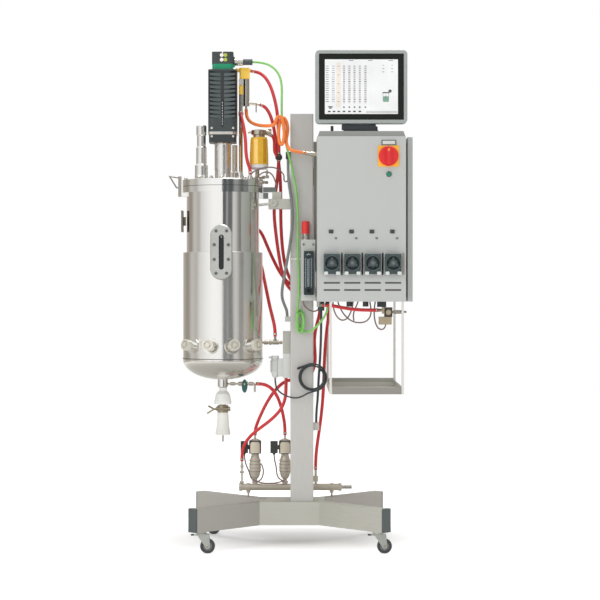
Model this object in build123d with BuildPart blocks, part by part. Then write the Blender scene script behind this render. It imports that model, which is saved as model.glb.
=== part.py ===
from build123d import *

import os
from math import atan2, cos, degrees, pi, radians, sin, sqrt, tan

# Pilot bioreactor on a castor base. Millimetres, +Z up, the front faces -Y,
# the vessel stands on the -X side of the post and the controls on the +X side.
# The origin is on the floor under the middle of the base hub.

os.makedirs("parts", exist_ok=True)

# Gaps between pieces
seat_gap = 0.1
turn_gap = 0.3
pin_gap = 0.05

# Castors
wheel_radius = 25
wheel_width = 18
castor_height = 73
castor_trail = 22
castor_plate = 4
castor_plate_radius = 19
kingpin_radius = 6
kingpin_length = 12
axle_radius = 3
fork_cheek = 3
fork_top = 3
castor_inset = 40

# Base
hub_width = 207
hub_depth = 170
beam_height = 80
beam_width = 40
beam_wall = 3
cap_thickness = 5
leg_reach = 340

# Post
post_width = 80
post_depth = 80
post_wall = 3
post_height = 1343
post_left = 3
post_front = -70

# Vessel
vessel_x = -232
vessel_radius = 126
vessel_wall = 3
vessel_tangent = 650
flange_radius = 140
flange_top = 1244
flange_height = 21
jacket_radius = 138
jacket_wall = 2.5
jacket_top = 1016
jacket_tangent = 643
neck_radius = 18
neck_bore = 12.5
neck_bottom = 550
lid_height = 24
shaft_radius = 8
lid_bolt_circle = 133
lid_bolt_count = 10

# Sight glass
sight_width = 75
sight_height = 189
sight_slot_width = 17.5
sight_slot_height = 119
sight_middle = 1015
sight_reach = 144
sight_frame_height = 12
sight_glass_height = 8
sight_glass_margin = 9

# Sensor ports
port_height = 693
port_pitch = 30
port_tilt = 10
port_reach = 34
port_radius = 15.5
port_bore = 12.5
port_cap_radius = 19.5
port_cap_length = 18
port_collar_radius = 26
port_collar_reach = 6

# Drive
housing_collar_height = 35
housing_radius = 29
housing_height = 95
adapter_width = 94
adapter_height = 26.5
motor_plate_height = 9.5
motor_width = 100
motor_height = 216
motor_corner = 20
rib_pitch = 14.5
rib_gap = 6
rib_core = 56
head_width = 74
band_height = 20
head_height = 42

# Manifold
manifold_radius = 12
manifold_height = 187
manifold_y = 95
manifold_left = -179
manifold_right = 185

# Cabinet
cabinet_left = 93
cabinet_width = 298
cabinet_front = -270
cabinet_depth = 500
cabinet_bottom = 847
cabinet_height = 555
cabinet_wall = 2
roof_height = 18
roof_slope = 6
duct_width = 17
duct_gap = 8
duct_setback = 40
pump_pitch = 68.5
pump_first = 142
pump_rise = 126
pump_width = 54
pump_height = 67
pump_depth = 22
rotor_radius = 20

# Main switch
switch_x = 332
switch_drop = 67
switch_plate_width = 71
switch_plate_thickness = 3
switch_radius = 33

# Monitor
monitor_width = 310
monitor_height = 247
monitor_depth = 45
monitor_left = 87
monitor_gap = 27
monitor_front = -250
monitor_corner = 14
bezel = 12
hinge_radius = 6

# Shelf
shelf_left = 134
shelf_width = 250
shelf_post = 8
tray_bottom = 536
tray_height = 22
tray_wall = 1.5

# Flow meter
meter_left = 40
meter_width = 49
meter_bottom = 849
meter_height = 211
meter_depth = 26

# Hoses and cables
hose_radius = 5
signal_radius = 3.8
feed_radius = 4.2
lead_radius = 2.5

# Places worked out from the sizes above
beam_top = castor_height + beam_height
post_right = post_left + post_width
post_back = post_front + post_depth
post_top = beam_top + post_height
vessel_y = (post_front + post_back) / 2
flange_bottom = flange_top - flange_height
lid_top = flange_top + lid_height
adapter_bottom = lid_top + housing_collar_height + housing_height
plate_bottom = adapter_bottom + adapter_height
motor_bottom = plate_bottom + motor_plate_height
motor_top = motor_bottom + motor_height
head_top = motor_top + band_height + head_height
cabinet_right = cabinet_left + cabinet_width
cabinet_back = cabinet_front + cabinet_depth
cabinet_top = cabinet_bottom + cabinet_height
roof_top = cabinet_top + roof_height
pump_middle = cabinet_bottom + pump_rise
switch_z = cabinet_top - switch_drop
monitor_bottom = roof_top + monitor_gap
meter_front = post_front - meter_depth
meter_top = meter_bottom + meter_height
meter_x = meter_left + meter_width / 2
half_root = sqrt(0.5)
FRONT = Vector(0, -1, 0)


# Shapes used by several pieces; each is added to the part that is being built

def bar(x, y, bottom, top, radius, mode=Mode.ADD):
    """Upright round bar."""
    with Locations((x, y, bottom)):
        Cylinder(radius, top - bottom, align=(Align.CENTER, Align.CENTER, Align.MIN), mode=mode)


def block(x, y, z, size_x, size_y, size_z, mode=Mode.ADD):
    """Box from its lowest corner."""
    with Locations((x, y, z)):
        Box(size_x, size_y, size_z, align=(Align.MIN, Align.MIN, Align.MIN), mode=mode)


def rod(start, end, radius, mode=Mode.ADD):
    """Round bar between two points."""
    way = Vector(*end) - Vector(*start)
    with BuildSketch(Plane(start, z_dir=way)) as section:
        Circle(radius)
    extrude(section.sketch, amount=way.length, mode=mode)


def turned(x, y, outline, mode=Mode.ADD):
    """Solid turned about the upright axis through (x, y), from (radius, height) points."""
    with BuildSketch(Plane((x, y, 0), x_dir=(1, 0, 0), z_dir=(0, -1, 0))) as section:
        with BuildLine():
            Polyline(*outline, close=True)
        make_face()
    revolve(section.sketch, axis=Axis((x, y, 0), (0, 0, 1)), mode=mode)


def upright_slab(x, z, front, back, width, height, corner, mode=Mode.ADD):
    """Rounded plate that faces the front, centred on (x, z)."""
    with BuildSketch(Plane((x, back, z), x_dir=(1, 0, 0), z_dir=(0, -1, 0))) as section:
        RectangleRounded(width, height, corner)
    extrude(section.sketch, amount=back - front, mode=mode)


def facing_bar(x, z, front, back, radius, mode=Mode.ADD):
    """Round bar that points to the front."""
    rod((x, back, z), (x, front, z), radius, mode)


def pipe_route(points):
    """Straight runs joined by arcs as large as the two runs at each corner allow."""
    places = [Vector(*point) for point in points]
    radii = []
    for before, corner, after in zip(places, places[1:], places[2:]):
        arriving = corner - before
        leaving = after - corner
        turn = radians(arriving.get_angle(leaving))
        radii.append(0.45 * min(arriving.length, leaving.length) / tan(turn / 2))
    return FilletPolyline(*points, radius=radii), radii


def hose(name, points, radius):
    """Tube along a route, as a solid of its own; prints its tightest arc and its length."""
    with BuildPart() as tube:
        with BuildLine() as line:
            route, radii = pipe_route(points)
        with BuildSketch(Plane(points[0], z_dir=line.line % 0)):
            Circle(radius)
        sweep(path=line.line)
    length = sum(edge.length for edge in line.edges())
    ratio = tube.part.volume / (pi * radius**2 * length)
    print(f"{name}: length {length:.0f}, least radius {min(radii):.0f}, volume ratio {ratio:.4f}")
    return tube.part


# Base frame: a welded hub with four box-section legs, open at their ends

leg_run = (leg_reach - beam_width * half_root - hub_width / 2) / half_root - cap_thickness


def leg_outline(side_x, side_y, start, end, inset):
    """Corners of a leg seen from above, between two distances along it."""
    corner = Vector(side_x * hub_width / 2, side_y * hub_depth / 2)
    along = Vector(side_x, side_y) * half_root
    across = Vector(side_x, -side_y) * half_root
    near, far = inset, beam_width - inset
    return [corner + along * a + across * b for a,
            b in ((start, near), (end, near), (end, far), (start, far))]


def leg_point(side_x, side_y, distance):
    """Point on the middle line of a leg, at a distance from the hub's corner."""
    corner = Vector(side_x * hub_width / 2, side_y * hub_depth / 2)
    return corner + Vector(side_x, side_y) * half_root * distance + \
        Vector(side_x, -side_y) * half_root * beam_width / 2


leg_root = -1.5 * beam_width
leg_sides = {"fl": (-1, -1), "fr": (1, -1), "rl": (-1, 1), "rr": (1, 1)}
kingpins = {name: leg_point(*side, leg_run + cap_thickness - castor_inset) for name,
            side in leg_sides.items()}

with BuildPart() as base_frame:
    with BuildSketch(Plane.XY.offset(castor_height)) as outside:
        Rectangle(hub_width, hub_depth)
        for side in leg_sides.values():
            with BuildLine():
                Polyline(*leg_outline(*side, leg_root, leg_run, 0), close=True)
            make_face()
    extrude(amount=beam_height)
    with BuildSketch(Plane.XY.offset(castor_height + beam_wall)) as inside:
        Rectangle(hub_width - 2 * beam_wall, hub_depth - 2 * beam_wall)
        for side in leg_sides.values():
            with BuildLine():
                Polyline(*leg_outline(*side, leg_root, leg_run, beam_wall), close=True)
            make_face()
    extrude(amount=beam_height - 2 * beam_wall, mode=Mode.SUBTRACT)
    for pin in kingpins.values():
        bar(pin.X, pin.Y, castor_height - castor_plate, castor_height, castor_plate_radius)
        bar(pin.X, pin.Y, castor_height - castor_plate - kingpin_length, castor_height, kingpin_radius)
base_frame.part.label = "base_frame"
export_step(base_frame.part, "parts/base_frame.step")

# End caps: dark plugs pressed into the open leg ends
cap_plug = 14
with BuildPart() as leg_caps:
    for side in leg_sides.values():
        with BuildSketch(Plane.XY.offset(castor_height)):
            with BuildLine():
                Polyline(*leg_outline(*side, leg_run, leg_run + cap_thickness, 0), close=True)
            make_face()
    extrude(amount=beam_height)
    for side in leg_sides.values():
        with BuildSketch(Plane.XY.offset(castor_height + beam_wall + seat_gap)):
            with BuildLine():
                Polyline(*leg_outline(*side, leg_run - cap_plug, leg_run, beam_wall + seat_gap), close=True)
            make_face()
    extrude(amount=beam_height - 2 * (beam_wall + seat_gap))
leg_caps.part.label = "leg_caps"
export_step(leg_caps.part, "parts/leg_caps.step")

# Castors: a fork that swivels on the kingpin and a wheel that rolls on its axle
fork_roof = castor_height - castor_plate - turn_gap
fork_boss_radius = 12
cheek_gap = wheel_width / 2 + 1
axle_boss_radius = 9


def castor_fork(pin):
    """Pressed steel fork with its brake lever, turned so that the wheel trails towards +X."""
    with BuildPart() as fork:
        block(pin.X - 15, pin.Y - cheek_gap - fork_cheek, fork_roof - 3 - fork_top, 42,
              2 * (cheek_gap + fork_cheek), fork_top)
        for side in (-1, 1):
            inner = pin.Y + side * cheek_gap
            outer = inner + side * fork_cheek
            face = max(inner, outer)
            with BuildSketch(Plane((pin.X, face, 0), x_dir=(1, 0, 0), z_dir=(0, -1, 0))):
                with BuildLine():
                    Polyline((-15, fork_roof - 3), (27, fork_roof - 3), (castor_trail + 9, wheel_radius),
                             (castor_trail - 9, wheel_radius), close=True)
                make_face()
                with Locations((castor_trail, wheel_radius)):
                    Circle(axle_boss_radius)
            extrude(amount=fork_cheek)
        rod((pin.X + castor_trail, pin.Y - cheek_gap - 1, wheel_radius),
            (pin.X + castor_trail, pin.Y + cheek_gap + 1, wheel_radius), axle_radius)
        block(pin.X - 34, pin.Y - 8, fork_roof - 8.5, 26, 16, 3)
        bar(pin.X, pin.Y, fork_roof - 12, fork_roof - 1, fork_boss_radius - 2, Mode.SUBTRACT)
        turned(pin.X, pin.Y, [(kingpin_radius + pin_gap, fork_roof - 9), (fork_boss_radius, fork_roof - 9),
                              (fork_boss_radius, fork_roof), (kingpin_radius + pin_gap, fork_roof)])
    return fork.part


def castor_wheel(pin):
    """Tyred wheel with a dished face on both sides."""
    x = pin.X + castor_trail
    with BuildPart() as wheel:
        rod((x, pin.Y - wheel_width / 2, wheel_radius), (x, pin.Y + wheel_width / 2, wheel_radius),
            wheel_radius)
        fillet(wheel.edges().filter_by(GeomType.CIRCLE), radius=4)
        for side in (-1, 1):
            rod((x, pin.Y + side * wheel_width / 2, wheel_radius),
                (x, pin.Y + side * (wheel_width / 2 - 3), wheel_radius),
                wheel_radius - 8, Mode.SUBTRACT)
            rod((x, pin.Y, wheel_radius), (x, pin.Y + side * (wheel_width / 2 + 0.5), wheel_radius), 7)
        rod((x, pin.Y - wheel_width, wheel_radius), (x, pin.Y + wheel_width, wheel_radius),
            axle_radius + pin_gap, Mode.SUBTRACT)
    return wheel.part


for name, pin in kingpins.items():
    fork_part = castor_fork(pin)
    fork_part.label = f"castor_fork_{name}"
    export_step(fork_part, f"parts/castor_fork_{name}.step")
    wheel_part = castor_wheel(pin)
    wheel_part.label = f"castor_wheel_{name}"
    export_step(wheel_part, f"parts/castor_wheel_{name}.step")

# Post: box section closed by a welded top, standing on the hub
with BuildPart() as column:
    with BuildSketch(Plane((post_left + post_width / 2, post_front + post_depth / 2, beam_top))):
        RectangleRounded(post_width, post_depth, 4)
    extrude(amount=post_height)
    block(post_left + post_wall, post_front + post_wall, beam_top, post_width - 2 * post_wall,
          post_depth - 2 * post_wall, post_height - post_wall, Mode.SUBTRACT)
    block(post_right - 0.5, vessel_y - 15, 398, 20.5, 22, 27)
    block(post_left - 16, -72, 1340, 16.5, 20, 24)
    block(post_left - 19, -48, 776, 19.5, 16, 18)
column.part.label = "column"
export_step(column.part, "parts/column.step")

# Vessel: a rolled shell with a 2:1 dished bottom, an outlet neck, a flange and welded fittings
dish_ratio = 0.5
sight_boss_back = vessel_radius - 7


def vessel_profile(radius, wall, top, tangent, mode):
    """Half section of a round shell with a 2:1 dished bottom, turned about the vessel's axis."""
    outer = radius - wall
    with BuildSketch(Plane((vessel_x, vessel_y, 0), x_dir=(1, 0, 0), z_dir=(0, -1, 0))) as section:
        with Locations((0, tangent)):
            Ellipse(outer, outer * dish_ratio)
            Rectangle(2 * outer, top - tangent, align=(Align.CENTER, Align.MIN))
        with Locations((0, tangent - outer)):
            Rectangle(outer, top - tangent + outer, align=(Align.MIN, Align.MIN), mode=Mode.INTERSECT)
    revolve(section.sketch, axis=Axis((vessel_x, vessel_y, 0), (0, 0, 1)), mode=mode)


def sight_opening(width, height, front, back, mode):
    """Upright slot shape in front of the vessel, between two distances from its axis."""
    with BuildSketch(Plane((vessel_x, vessel_y - back, sight_middle), x_dir=(0, 0, 1),
                           z_dir=(0, -1, 0))) as slot:
        SlotOverall(height, width)
    extrude(slot.sketch, amount=front - back, mode=mode)


port_angles = [port_pitch * step for step in (-1.5, -0.5, 0.5, 1.5)]


def port_line(angle, near, far):
    """Two points on a port's middle line, at distances from the vessel's axis; 0 degrees is the front."""
    out = Vector(sin(radians(angle)), -cos(radians(angle)), 0)
    centre = Vector(vessel_x, vessel_y, port_height)
    rise = Vector(0, 0, tan(radians(port_tilt)))
    return [tuple(centre + out * reach + rise * (reach - jacket_radius)) for reach in (near, far)]


ear_width = 40
baffle_length = 170
nipple_line = radians(45)
plate_left = post_left - 76
return_height = 1104
jacket_outlet_height = 985


def side_point(reach, height):
    """Point at the rear right of the vessel, at a distance from its axis."""
    return vessel_x + reach * cos(nipple_line), vessel_y + reach * sin(nipple_line), height


with BuildPart() as vessel_shell:
    vessel_profile(vessel_radius, 0, flange_top - 2, vessel_tangent, Mode.ADD)
    bar(vessel_x, vessel_y, flange_bottom, flange_top, flange_radius)
    bar(vessel_x, vessel_y, neck_bottom, vessel_tangent, neck_radius)
    block(vessel_x, vessel_y - ear_width / 2, flange_bottom + 4, 186, ear_width, flange_height - 5)
    block(vessel_x, vessel_y - 18, flange_bottom - 19, plate_left - 1 - vessel_x, 36, 20)
    block(vessel_x - 155, vessel_y - 15, flange_bottom - 12, 40, 30, 16)
    block(vessel_x - 155, vessel_y - 15, flange_bottom - 12, 12, 30, 70)
    block(vessel_x - 144, vessel_y - 30, 1088, 6, 60, 74)
    block(vessel_x - 139, vessel_y - 6, 1110, 24, 12, 30)
    sight_opening(sight_width, sight_height, sight_reach, sight_boss_back, Mode.ADD)
    for angle in port_angles:
        rod(*port_line(angle, vessel_radius - 20, jacket_radius + port_reach), port_radius)
    rod(side_point(110, return_height), side_point(vessel_radius + 22, return_height), 6)
    vessel_profile(vessel_radius, vessel_wall, flange_top + 1, vessel_tangent, Mode.SUBTRACT)
    bar(vessel_x, vessel_y, neck_bottom - 1, vessel_tangent, neck_bore, Mode.SUBTRACT)
    sight_opening(sight_slot_width, sight_slot_height, sight_reach, vessel_radius - 20, Mode.SUBTRACT)
    sight_opening(sight_slot_width + 2 * sight_glass_margin, sight_slot_height + 2 * sight_glass_margin,
                  sight_reach + 1, sight_reach - sight_glass_height - seat_gap, Mode.SUBTRACT)
    for angle in port_angles:
        rod(*port_line(angle, vessel_radius - 30, jacket_radius + port_reach + 1), port_bore, Mode.SUBTRACT)
    for step in range(4):
        turn = radians(90 * step)
        mid = vessel_radius - vessel_wall - 5
        with Locations(Location((vessel_x + mid * cos(turn), vessel_y + mid * sin(turn), 720),
                                (0, 0, degrees(turn)))):
            Box(12, 3, baffle_length, align=(Align.CENTER, Align.CENTER, Align.MIN))
    handle = [(vessel_x - 149, vessel_y, 1276), (-418, vessel_y, 1282), (-394, vessel_y, 1243),
              (vessel_x - 150, vessel_y, 1240)]
    for near, far in zip(handle, handle[1:]):
        rod(near, far, 2.6)
    for knee in handle[1:3]:
        with Locations(knee):
            Sphere(2.6)
vessel_shell.part.label = "vessel_shell"
export_step(vessel_shell.part, "parts/vessel_shell.step")

# Jacket: the outer shell that holds the heating water round the vessel
with BuildPart() as jacket:
    vessel_profile(jacket_radius, 0, jacket_top, jacket_tangent, Mode.ADD)
    for angle in port_angles:
        rod(*port_line(angle, jacket_radius - 14, jacket_radius + port_collar_reach), port_collar_radius)
    rod(side_point(125, jacket_outlet_height), side_point(jacket_radius + 14, jacket_outlet_height), 6)
    vessel_profile(jacket_radius, jacket_wall, jacket_top - 4, jacket_tangent, Mode.SUBTRACT)
    bar(vessel_x, vessel_y, jacket_tangent, jacket_top + 1, vessel_radius + seat_gap, Mode.SUBTRACT)
    bar(vessel_x, vessel_y, neck_bottom, jacket_tangent, neck_radius + seat_gap, Mode.SUBTRACT)
    for angle in port_angles:
        rod(*port_line(angle, vessel_radius - 20, jacket_radius + port_reach), port_radius + seat_gap,
            Mode.SUBTRACT)
    sight_opening(sight_width + 2 * seat_gap, sight_height + 2 * seat_gap, sight_reach,
                  sight_boss_back - 4, Mode.SUBTRACT)
    with Locations((vessel_x, vessel_y, jacket_tangent)):
        Torus(jacket_radius, 1.5)
    vessel_profile(jacket_radius, jacket_wall, jacket_top - 4, jacket_tangent, Mode.SUBTRACT)
jacket.part.label = "jacket"
export_step(jacket.part, "parts/jacket.step")

# Port plugs: capped blanks in the four sensor ports
with BuildPart() as port_plugs:
    for angle in port_angles:
        end = jacket_radius + port_reach
        rod(*port_line(angle, end - 12, end + port_cap_length - 12), port_cap_radius)
        rod(*port_line(angle, end - 13, end), port_radius + seat_gap, Mode.SUBTRACT)
        rod(*port_line(angle, vessel_radius - 2, end + 1), port_bore - seat_gap)
        rod(*port_line(angle, end + 2, end + port_cap_length), port_cap_radius - 6, Mode.SUBTRACT)
        rod(*port_line(angle, end, end + port_cap_length - 9), 7)
port_plugs.part.label = "port_plugs"
export_step(port_plugs.part, "parts/port_plugs.step")

# Sight glass: a long glass clamped to the boss by a slotted frame with eight screws
with BuildPart() as sight_glass:
    sight_opening(sight_slot_width + 2 * (sight_glass_margin - seat_gap),
                  sight_slot_height + 2 * (sight_glass_margin - seat_gap),
                  sight_reach, sight_reach - sight_glass_height, Mode.ADD)
sight_glass.part.label = "sight_glass"
export_step(sight_glass.part, "parts/sight_glass.step")

sight_screws = [(side * reach, rise) for side in (-1, 1) for reach,
                rise in ((18, 72), (24, 25), (24, -25), (18, -72))]
with BuildPart() as sight_frame:
    sight_opening(sight_width, sight_height, sight_reach + sight_frame_height, sight_reach, Mode.ADD)
    chamfer(sight_frame.faces().sort_by(Axis.Y)[0].edges(), length=3)
    sight_opening(sight_slot_width, sight_slot_height, sight_reach + sight_frame_height + 1,
                  sight_reach - 1, Mode.SUBTRACT)
    frame_face = vessel_y - sight_reach - sight_frame_height
    for across, up in sight_screws:
        facing_bar(vessel_x + across, sight_middle + up, frame_face, frame_face + 3, 6.5, Mode.SUBTRACT)
        facing_bar(vessel_x + across, sight_middle + up, frame_face - 2, frame_face + 3, 5)
        facing_bar(vessel_x + across, sight_middle + up, frame_face - 3, frame_face, 2.5, Mode.SUBTRACT)
sight_frame.part.label = "sight_frame"
export_step(sight_frame.part, "parts/sight_frame.step")

# Lid: a thick disc with welded fittings on top and the sparging pipe below
lid_fittings = [(62, -58, 26), (96, -34, 18), (64, 92, 26), (-44, 84, 22), (-84, 52, 16), (14, -98, 18),
                (-60, -86, 14), (4, 96, 20)]
with BuildPart() as lid:
    bar(vessel_x, vessel_y, flange_top, lid_top, flange_radius)
    chamfer(lid.faces().sort_by(Axis.Z)[-1].edges(), length=0.8)
    turned(vessel_x, vessel_y, [(flange_radius - 3, flange_top - 1), (flange_radius + 1, flange_top - 1),
                                (flange_radius + 1, flange_top + 1.5),
                                (flange_radius - 3, flange_top + 1.5)], Mode.SUBTRACT)
    for across, back, height in lid_fittings:
        bar(vessel_x + across, vessel_y + back, lid_top - 1, lid_top + height * 0.45, 11)
        bar(vessel_x + across, vessel_y + back, lid_top, lid_top + height * 0.8, 8)
        bar(vessel_x + across, vessel_y + back, lid_top, lid_top + height, 5)
    bar(vessel_x, vessel_y, flange_top - 1, lid_top + 1, shaft_radius + 6, Mode.SUBTRACT)
    sparge = Vector(vessel_x + 95 * cos(radians(10)), vessel_y + 95 * sin(radians(10)))
    bar(sparge.X, sparge.Y, 655, flange_top + 5, 5)
    rod((sparge.X, sparge.Y, 660), (vessel_x + 33, vessel_y, 660), 3.4)
    with Locations((vessel_x, vessel_y, 660)):
        Torus(35, 4)
lid.part.label = "lid"
export_step(lid.part, "parts/lid.step")

# Lid bolts: domed nuts round the flange
with BuildPart() as lid_bolts:
    with Locations((vessel_x, vessel_y, lid_top)):
        with PolarLocations(lid_bolt_circle, lid_bolt_count, start_angle=180 / lid_bolt_count):
            Cylinder(6, 7, align=(Align.CENTER, Align.CENTER, Align.MIN))
    chamfer(lid_bolts.faces().filter_by(Axis.Z).group_by(Axis.Z)[-1].edges(), length=1.5)
lid_bolts.part.label = "lid_bolts"
export_step(lid_bolts.part, "parts/lid_bolts.step")

# Bearing housing: a polished tube on the lid with two shaft bushes
housing_bore = shaft_radius + 6
housing_top = adapter_bottom
with BuildPart() as bearing_housing:
    turned(vessel_x, vessel_y, [(housing_bore, lid_top), (housing_radius - 1, lid_top),
                                (housing_radius - 1, lid_top + housing_collar_height - 2),
                                (housing_radius - 2, lid_top + housing_collar_height - 1),
                                (housing_radius, lid_top + housing_collar_height),
                                (housing_radius, housing_top), (housing_bore, housing_top)])
    for bush in (lid_top + 8, housing_top - 22):
        turned(vessel_x, vessel_y, [(shaft_radius + pin_gap, bush), (housing_bore, bush),
                                    (housing_bore, bush + 14), (shaft_radius + pin_gap, bush + 14)])
bearing_housing.part.label = "bearing_housing"
export_step(bearing_housing.part, "parts/bearing_housing.step")

# Agitator: the shaft with three six-blade impellers
impeller_radius = 52
with BuildPart() as agitator:
    bar(vessel_x, vessel_y, 690, plate_bottom - 6, shaft_radius)
    for height in (720, 880, 1040):
        bar(vessel_x, vessel_y, height - 10, height + 10, 14)
        bar(vessel_x, vessel_y, height - 1.5, height + 1.5, impeller_radius - 14)
        for step in range(6):
            turn = radians(60 * step)
            mid = impeller_radius - 13
            with Locations(Location((vessel_x + mid * cos(turn), vessel_y + mid * sin(turn), height),
                                    (0, 0, degrees(turn)))):
                Box(26, 2, 22)
agitator.part.label = "agitator"
export_step(agitator.part, "parts/agitator.step")

# Drive motor: adapter, bright flange plate and the ribbed body


def rounded_tower(x, y, bottom, top, width, corner, mode=Mode.ADD):
    """Square upright body with round corners."""
    with BuildSketch(Plane((x, y, bottom))) as section:
        RectangleRounded(width, width, corner)
    extrude(section.sketch, amount=top - bottom, mode=mode)


rib_count = int((motor_height - 3 * rib_pitch) / rib_pitch)
with BuildPart() as motor_body:
    rounded_tower(vessel_x, vessel_y, adapter_bottom, plate_bottom, adapter_width, 8)
    rounded_tower(vessel_x, vessel_y, plate_bottom, motor_bottom, motor_width, 14)
    rounded_tower(vessel_x, vessel_y, motor_bottom, motor_top, motor_width, motor_corner)
    bar(vessel_x, vessel_y, adapter_bottom, plate_bottom - 4, housing_bore, Mode.SUBTRACT)
    groove_outside = motor_width
    for step in range(rib_count):
        height = motor_top - 7 - step * rib_pitch
        turned(vessel_x, vessel_y, [(rib_core, height - rib_gap), (groove_outside, height - rib_gap),
                                    (groove_outside, height), (rib_core, height)], Mode.SUBTRACT)
    face = vessel_y - motor_width / 2
    block(vessel_x - 1.5, face, motor_bottom + 20, 3, 3, 90, Mode.SUBTRACT)
    for side in (-1, 1):
        facing_bar(vessel_x + side * 37, motor_bottom + 12, face - 3, face + 1, 4)
        facing_bar(vessel_x + side * 37, plate_bottom - 7, vessel_y - adapter_width / 2 - 3, vessel_y, 4)
motor_body.part.label = "motor_body"
export_step(motor_body.part, "parts/motor_body.step")

plug_z = motor_top + band_height + 10
with BuildPart() as motor_head:
    rounded_tower(vessel_x, vessel_y, motor_top, motor_top + band_height, head_width - 2, 12)
    rounded_tower(vessel_x, vessel_y, motor_top + band_height, head_top, head_width, 12)
    head_face = vessel_y - head_width / 2
    for across in (-3, 10):
        for up in (14, 30):
            facing_bar(vessel_x + across, motor_top + band_height + up, head_face - 1, head_face + 4, 6.4)
    block(vessel_x - 2, vessel_y - head_width, head_top - 6, 4, 2 * head_width, 7, Mode.SUBTRACT)
    side_x = vessel_x + head_width / 2
    block(side_x - 2, vessel_y - 16, plug_z - 17, 6, 32, 34)
    rod((side_x, vessel_y, plug_z), (side_x + 33, vessel_y, plug_z), 12.5)
    rod((side_x, vessel_y, plug_z), (side_x + 66, vessel_y, plug_z), 10.5)
motor_head.part.label = "motor_head"
export_step(motor_head.part, "parts/motor_head.step")

# Probe towers on the lid: a stepped sensor socket and a plain closed one
tower_x = vessel_x - 74
tower_y = vessel_y - 20
with BuildPart() as probe_towers:
    turned(tower_x, tower_y, [(0, lid_top), (23, lid_top), (23, lid_top + 14), (22.4, lid_top + 16),
                              (22.4, lid_top + 50), (18.2, lid_top + 56), (18, lid_top + 112),
                              (15.2, lid_top + 116), (15.2, lid_top + 154), (17.6, lid_top + 156),
                              (17.6, lid_top + 186), (15.6, lid_top + 189), (0, lid_top + 189)])
    turned(vessel_x + 40, vessel_y + 46, [(0, lid_top), (12, lid_top), (12, lid_top + 30),
                                          (9.5, lid_top + 34),
                                          (9.5, lid_top + 126), (0, lid_top + 126)])
probe_towers.part.label = "probe_towers"
export_step(probe_towers.part, "parts/probe_towers.step")

# Exhaust condenser: a stand pipe and a cooling tube, joined at the top and held by yellow caps
stand_x = vessel_x + 61
cooler_x = vessel_x + 80
cooler_y = vessel_y + 50
cooler_bottom = 1531
cooler_top = 1626
with BuildPart() as condenser:
    bar(stand_x, cooler_y, lid_top, lid_top + 20, 8.5)
    bar(stand_x, cooler_y, lid_top, 1572, 6.8)
    bar(stand_x, cooler_y, 1496, 1512, 8.5)
    bar(cooler_x, cooler_y, cooler_bottom, cooler_top, 11.5)
    block(stand_x - 7, cooler_y - 7, 1606, 20, 14, 20)
    rod((cooler_x, cooler_y, 1541), (-117, cooler_y, 1541), 6)
    rod((-117, cooler_y, 1541), (-104, cooler_y, 1537), 5)
    bar(-117, cooler_y, 1510, 1541, 2.2)
    bar(cooler_x, cooler_y, cooler_bottom - 10, cooler_bottom, 4)
    rod((stand_x, cooler_y, 1504), (stand_x, cooler_y - 16, 1504), 4.5)
    bar(stand_x, cooler_y, 1571, 1627, 5)
condenser.part.label = "condenser"
export_step(condenser.part, "parts/condenser.step")

cap_x = (stand_x + cooler_x) / 2 + 4
with BuildPart() as condenser_caps:
    turned(stand_x, cooler_y, [(5 + seat_gap, 1572 + turn_gap), (7.2, 1572 + turn_gap), (7.2, 1604),
                               (5 + seat_gap, 1604)])
    block(cap_x - 18, cooler_y - 13, cooler_top + seat_gap + 1, 36, 26, 38)
    fillet(condenser_caps.edges().filter_by(Axis.Z).group_by(SortBy.LENGTH)[-1], radius=6)
    rod((cap_x - 10, cooler_y, cooler_top + 30), (cap_x - 32, cooler_y, cooler_top + 32), 7)
    rod((cap_x + 15, cooler_y, cooler_top + 30), (cap_x + 23, cooler_y, cooler_top + 29), 6)
condenser_caps.part.label = "condenser_caps"
export_step(condenser_caps.part, "parts/condenser_caps.step")

# Inlet filter: amber bowl between a clamped head and a foot that stands on the lid
filter_x = vessel_x + 126
filter_y = vessel_y - 8
bowl_bottom = 1322
bowl_top = 1417
with BuildPart() as filter_bowl:
    turned(filter_x, filter_y, [(0, bowl_bottom), (32.8, bowl_bottom), (32, bowl_bottom + 40),
                                (29.5, bowl_top - 8),
                                (27, bowl_top), (23, bowl_top), (25.5, bowl_top - 8),
                                (28.5, bowl_bottom + 40),
                                (29, bowl_bottom + 4), (0, bowl_bottom + 4)])
filter_bowl.part.label = "filter_bowl"
export_step(filter_bowl.part, "parts/filter_bowl.step")

with BuildPart() as filter_fittings:
    turned(filter_x, filter_y, [(0, bowl_top), (20, bowl_top), (20, bowl_top + 7), (27, bowl_top + 9),
                                (27, bowl_top + 24), (10, bowl_top + 28), (0, bowl_top + 28)])
    rod((filter_x - 38, filter_y, bowl_top + 18), (filter_x + 40, filter_y, bowl_top + 18), 4.5)
    rod((filter_x + 22, filter_y, bowl_top + 18), (filter_x + 34, filter_y, bowl_top + 18), 8)
    block(filter_x + 31, filter_y - 3, bowl_top + 7, 12, 6, 22)
    rod((filter_x + 14, filter_y + 12, bowl_top + 15), (filter_x + 34, filter_y + 26, bowl_top + 12), 4.5)
    turned(filter_x, filter_y, [(0, bowl_bottom - 17), (24, bowl_bottom - 17), (32, bowl_bottom - 11),
                                (32, bowl_bottom), (0, bowl_bottom)])
    bar(filter_x - 6, filter_y, lid_top, bowl_bottom - 16, 7)
    bar(filter_x - 6, filter_y, lid_top, lid_top + 12, 10)
filter_fittings.part.label = "filter_fittings"
export_step(filter_fittings.part, "parts/filter_fittings.step")

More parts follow.
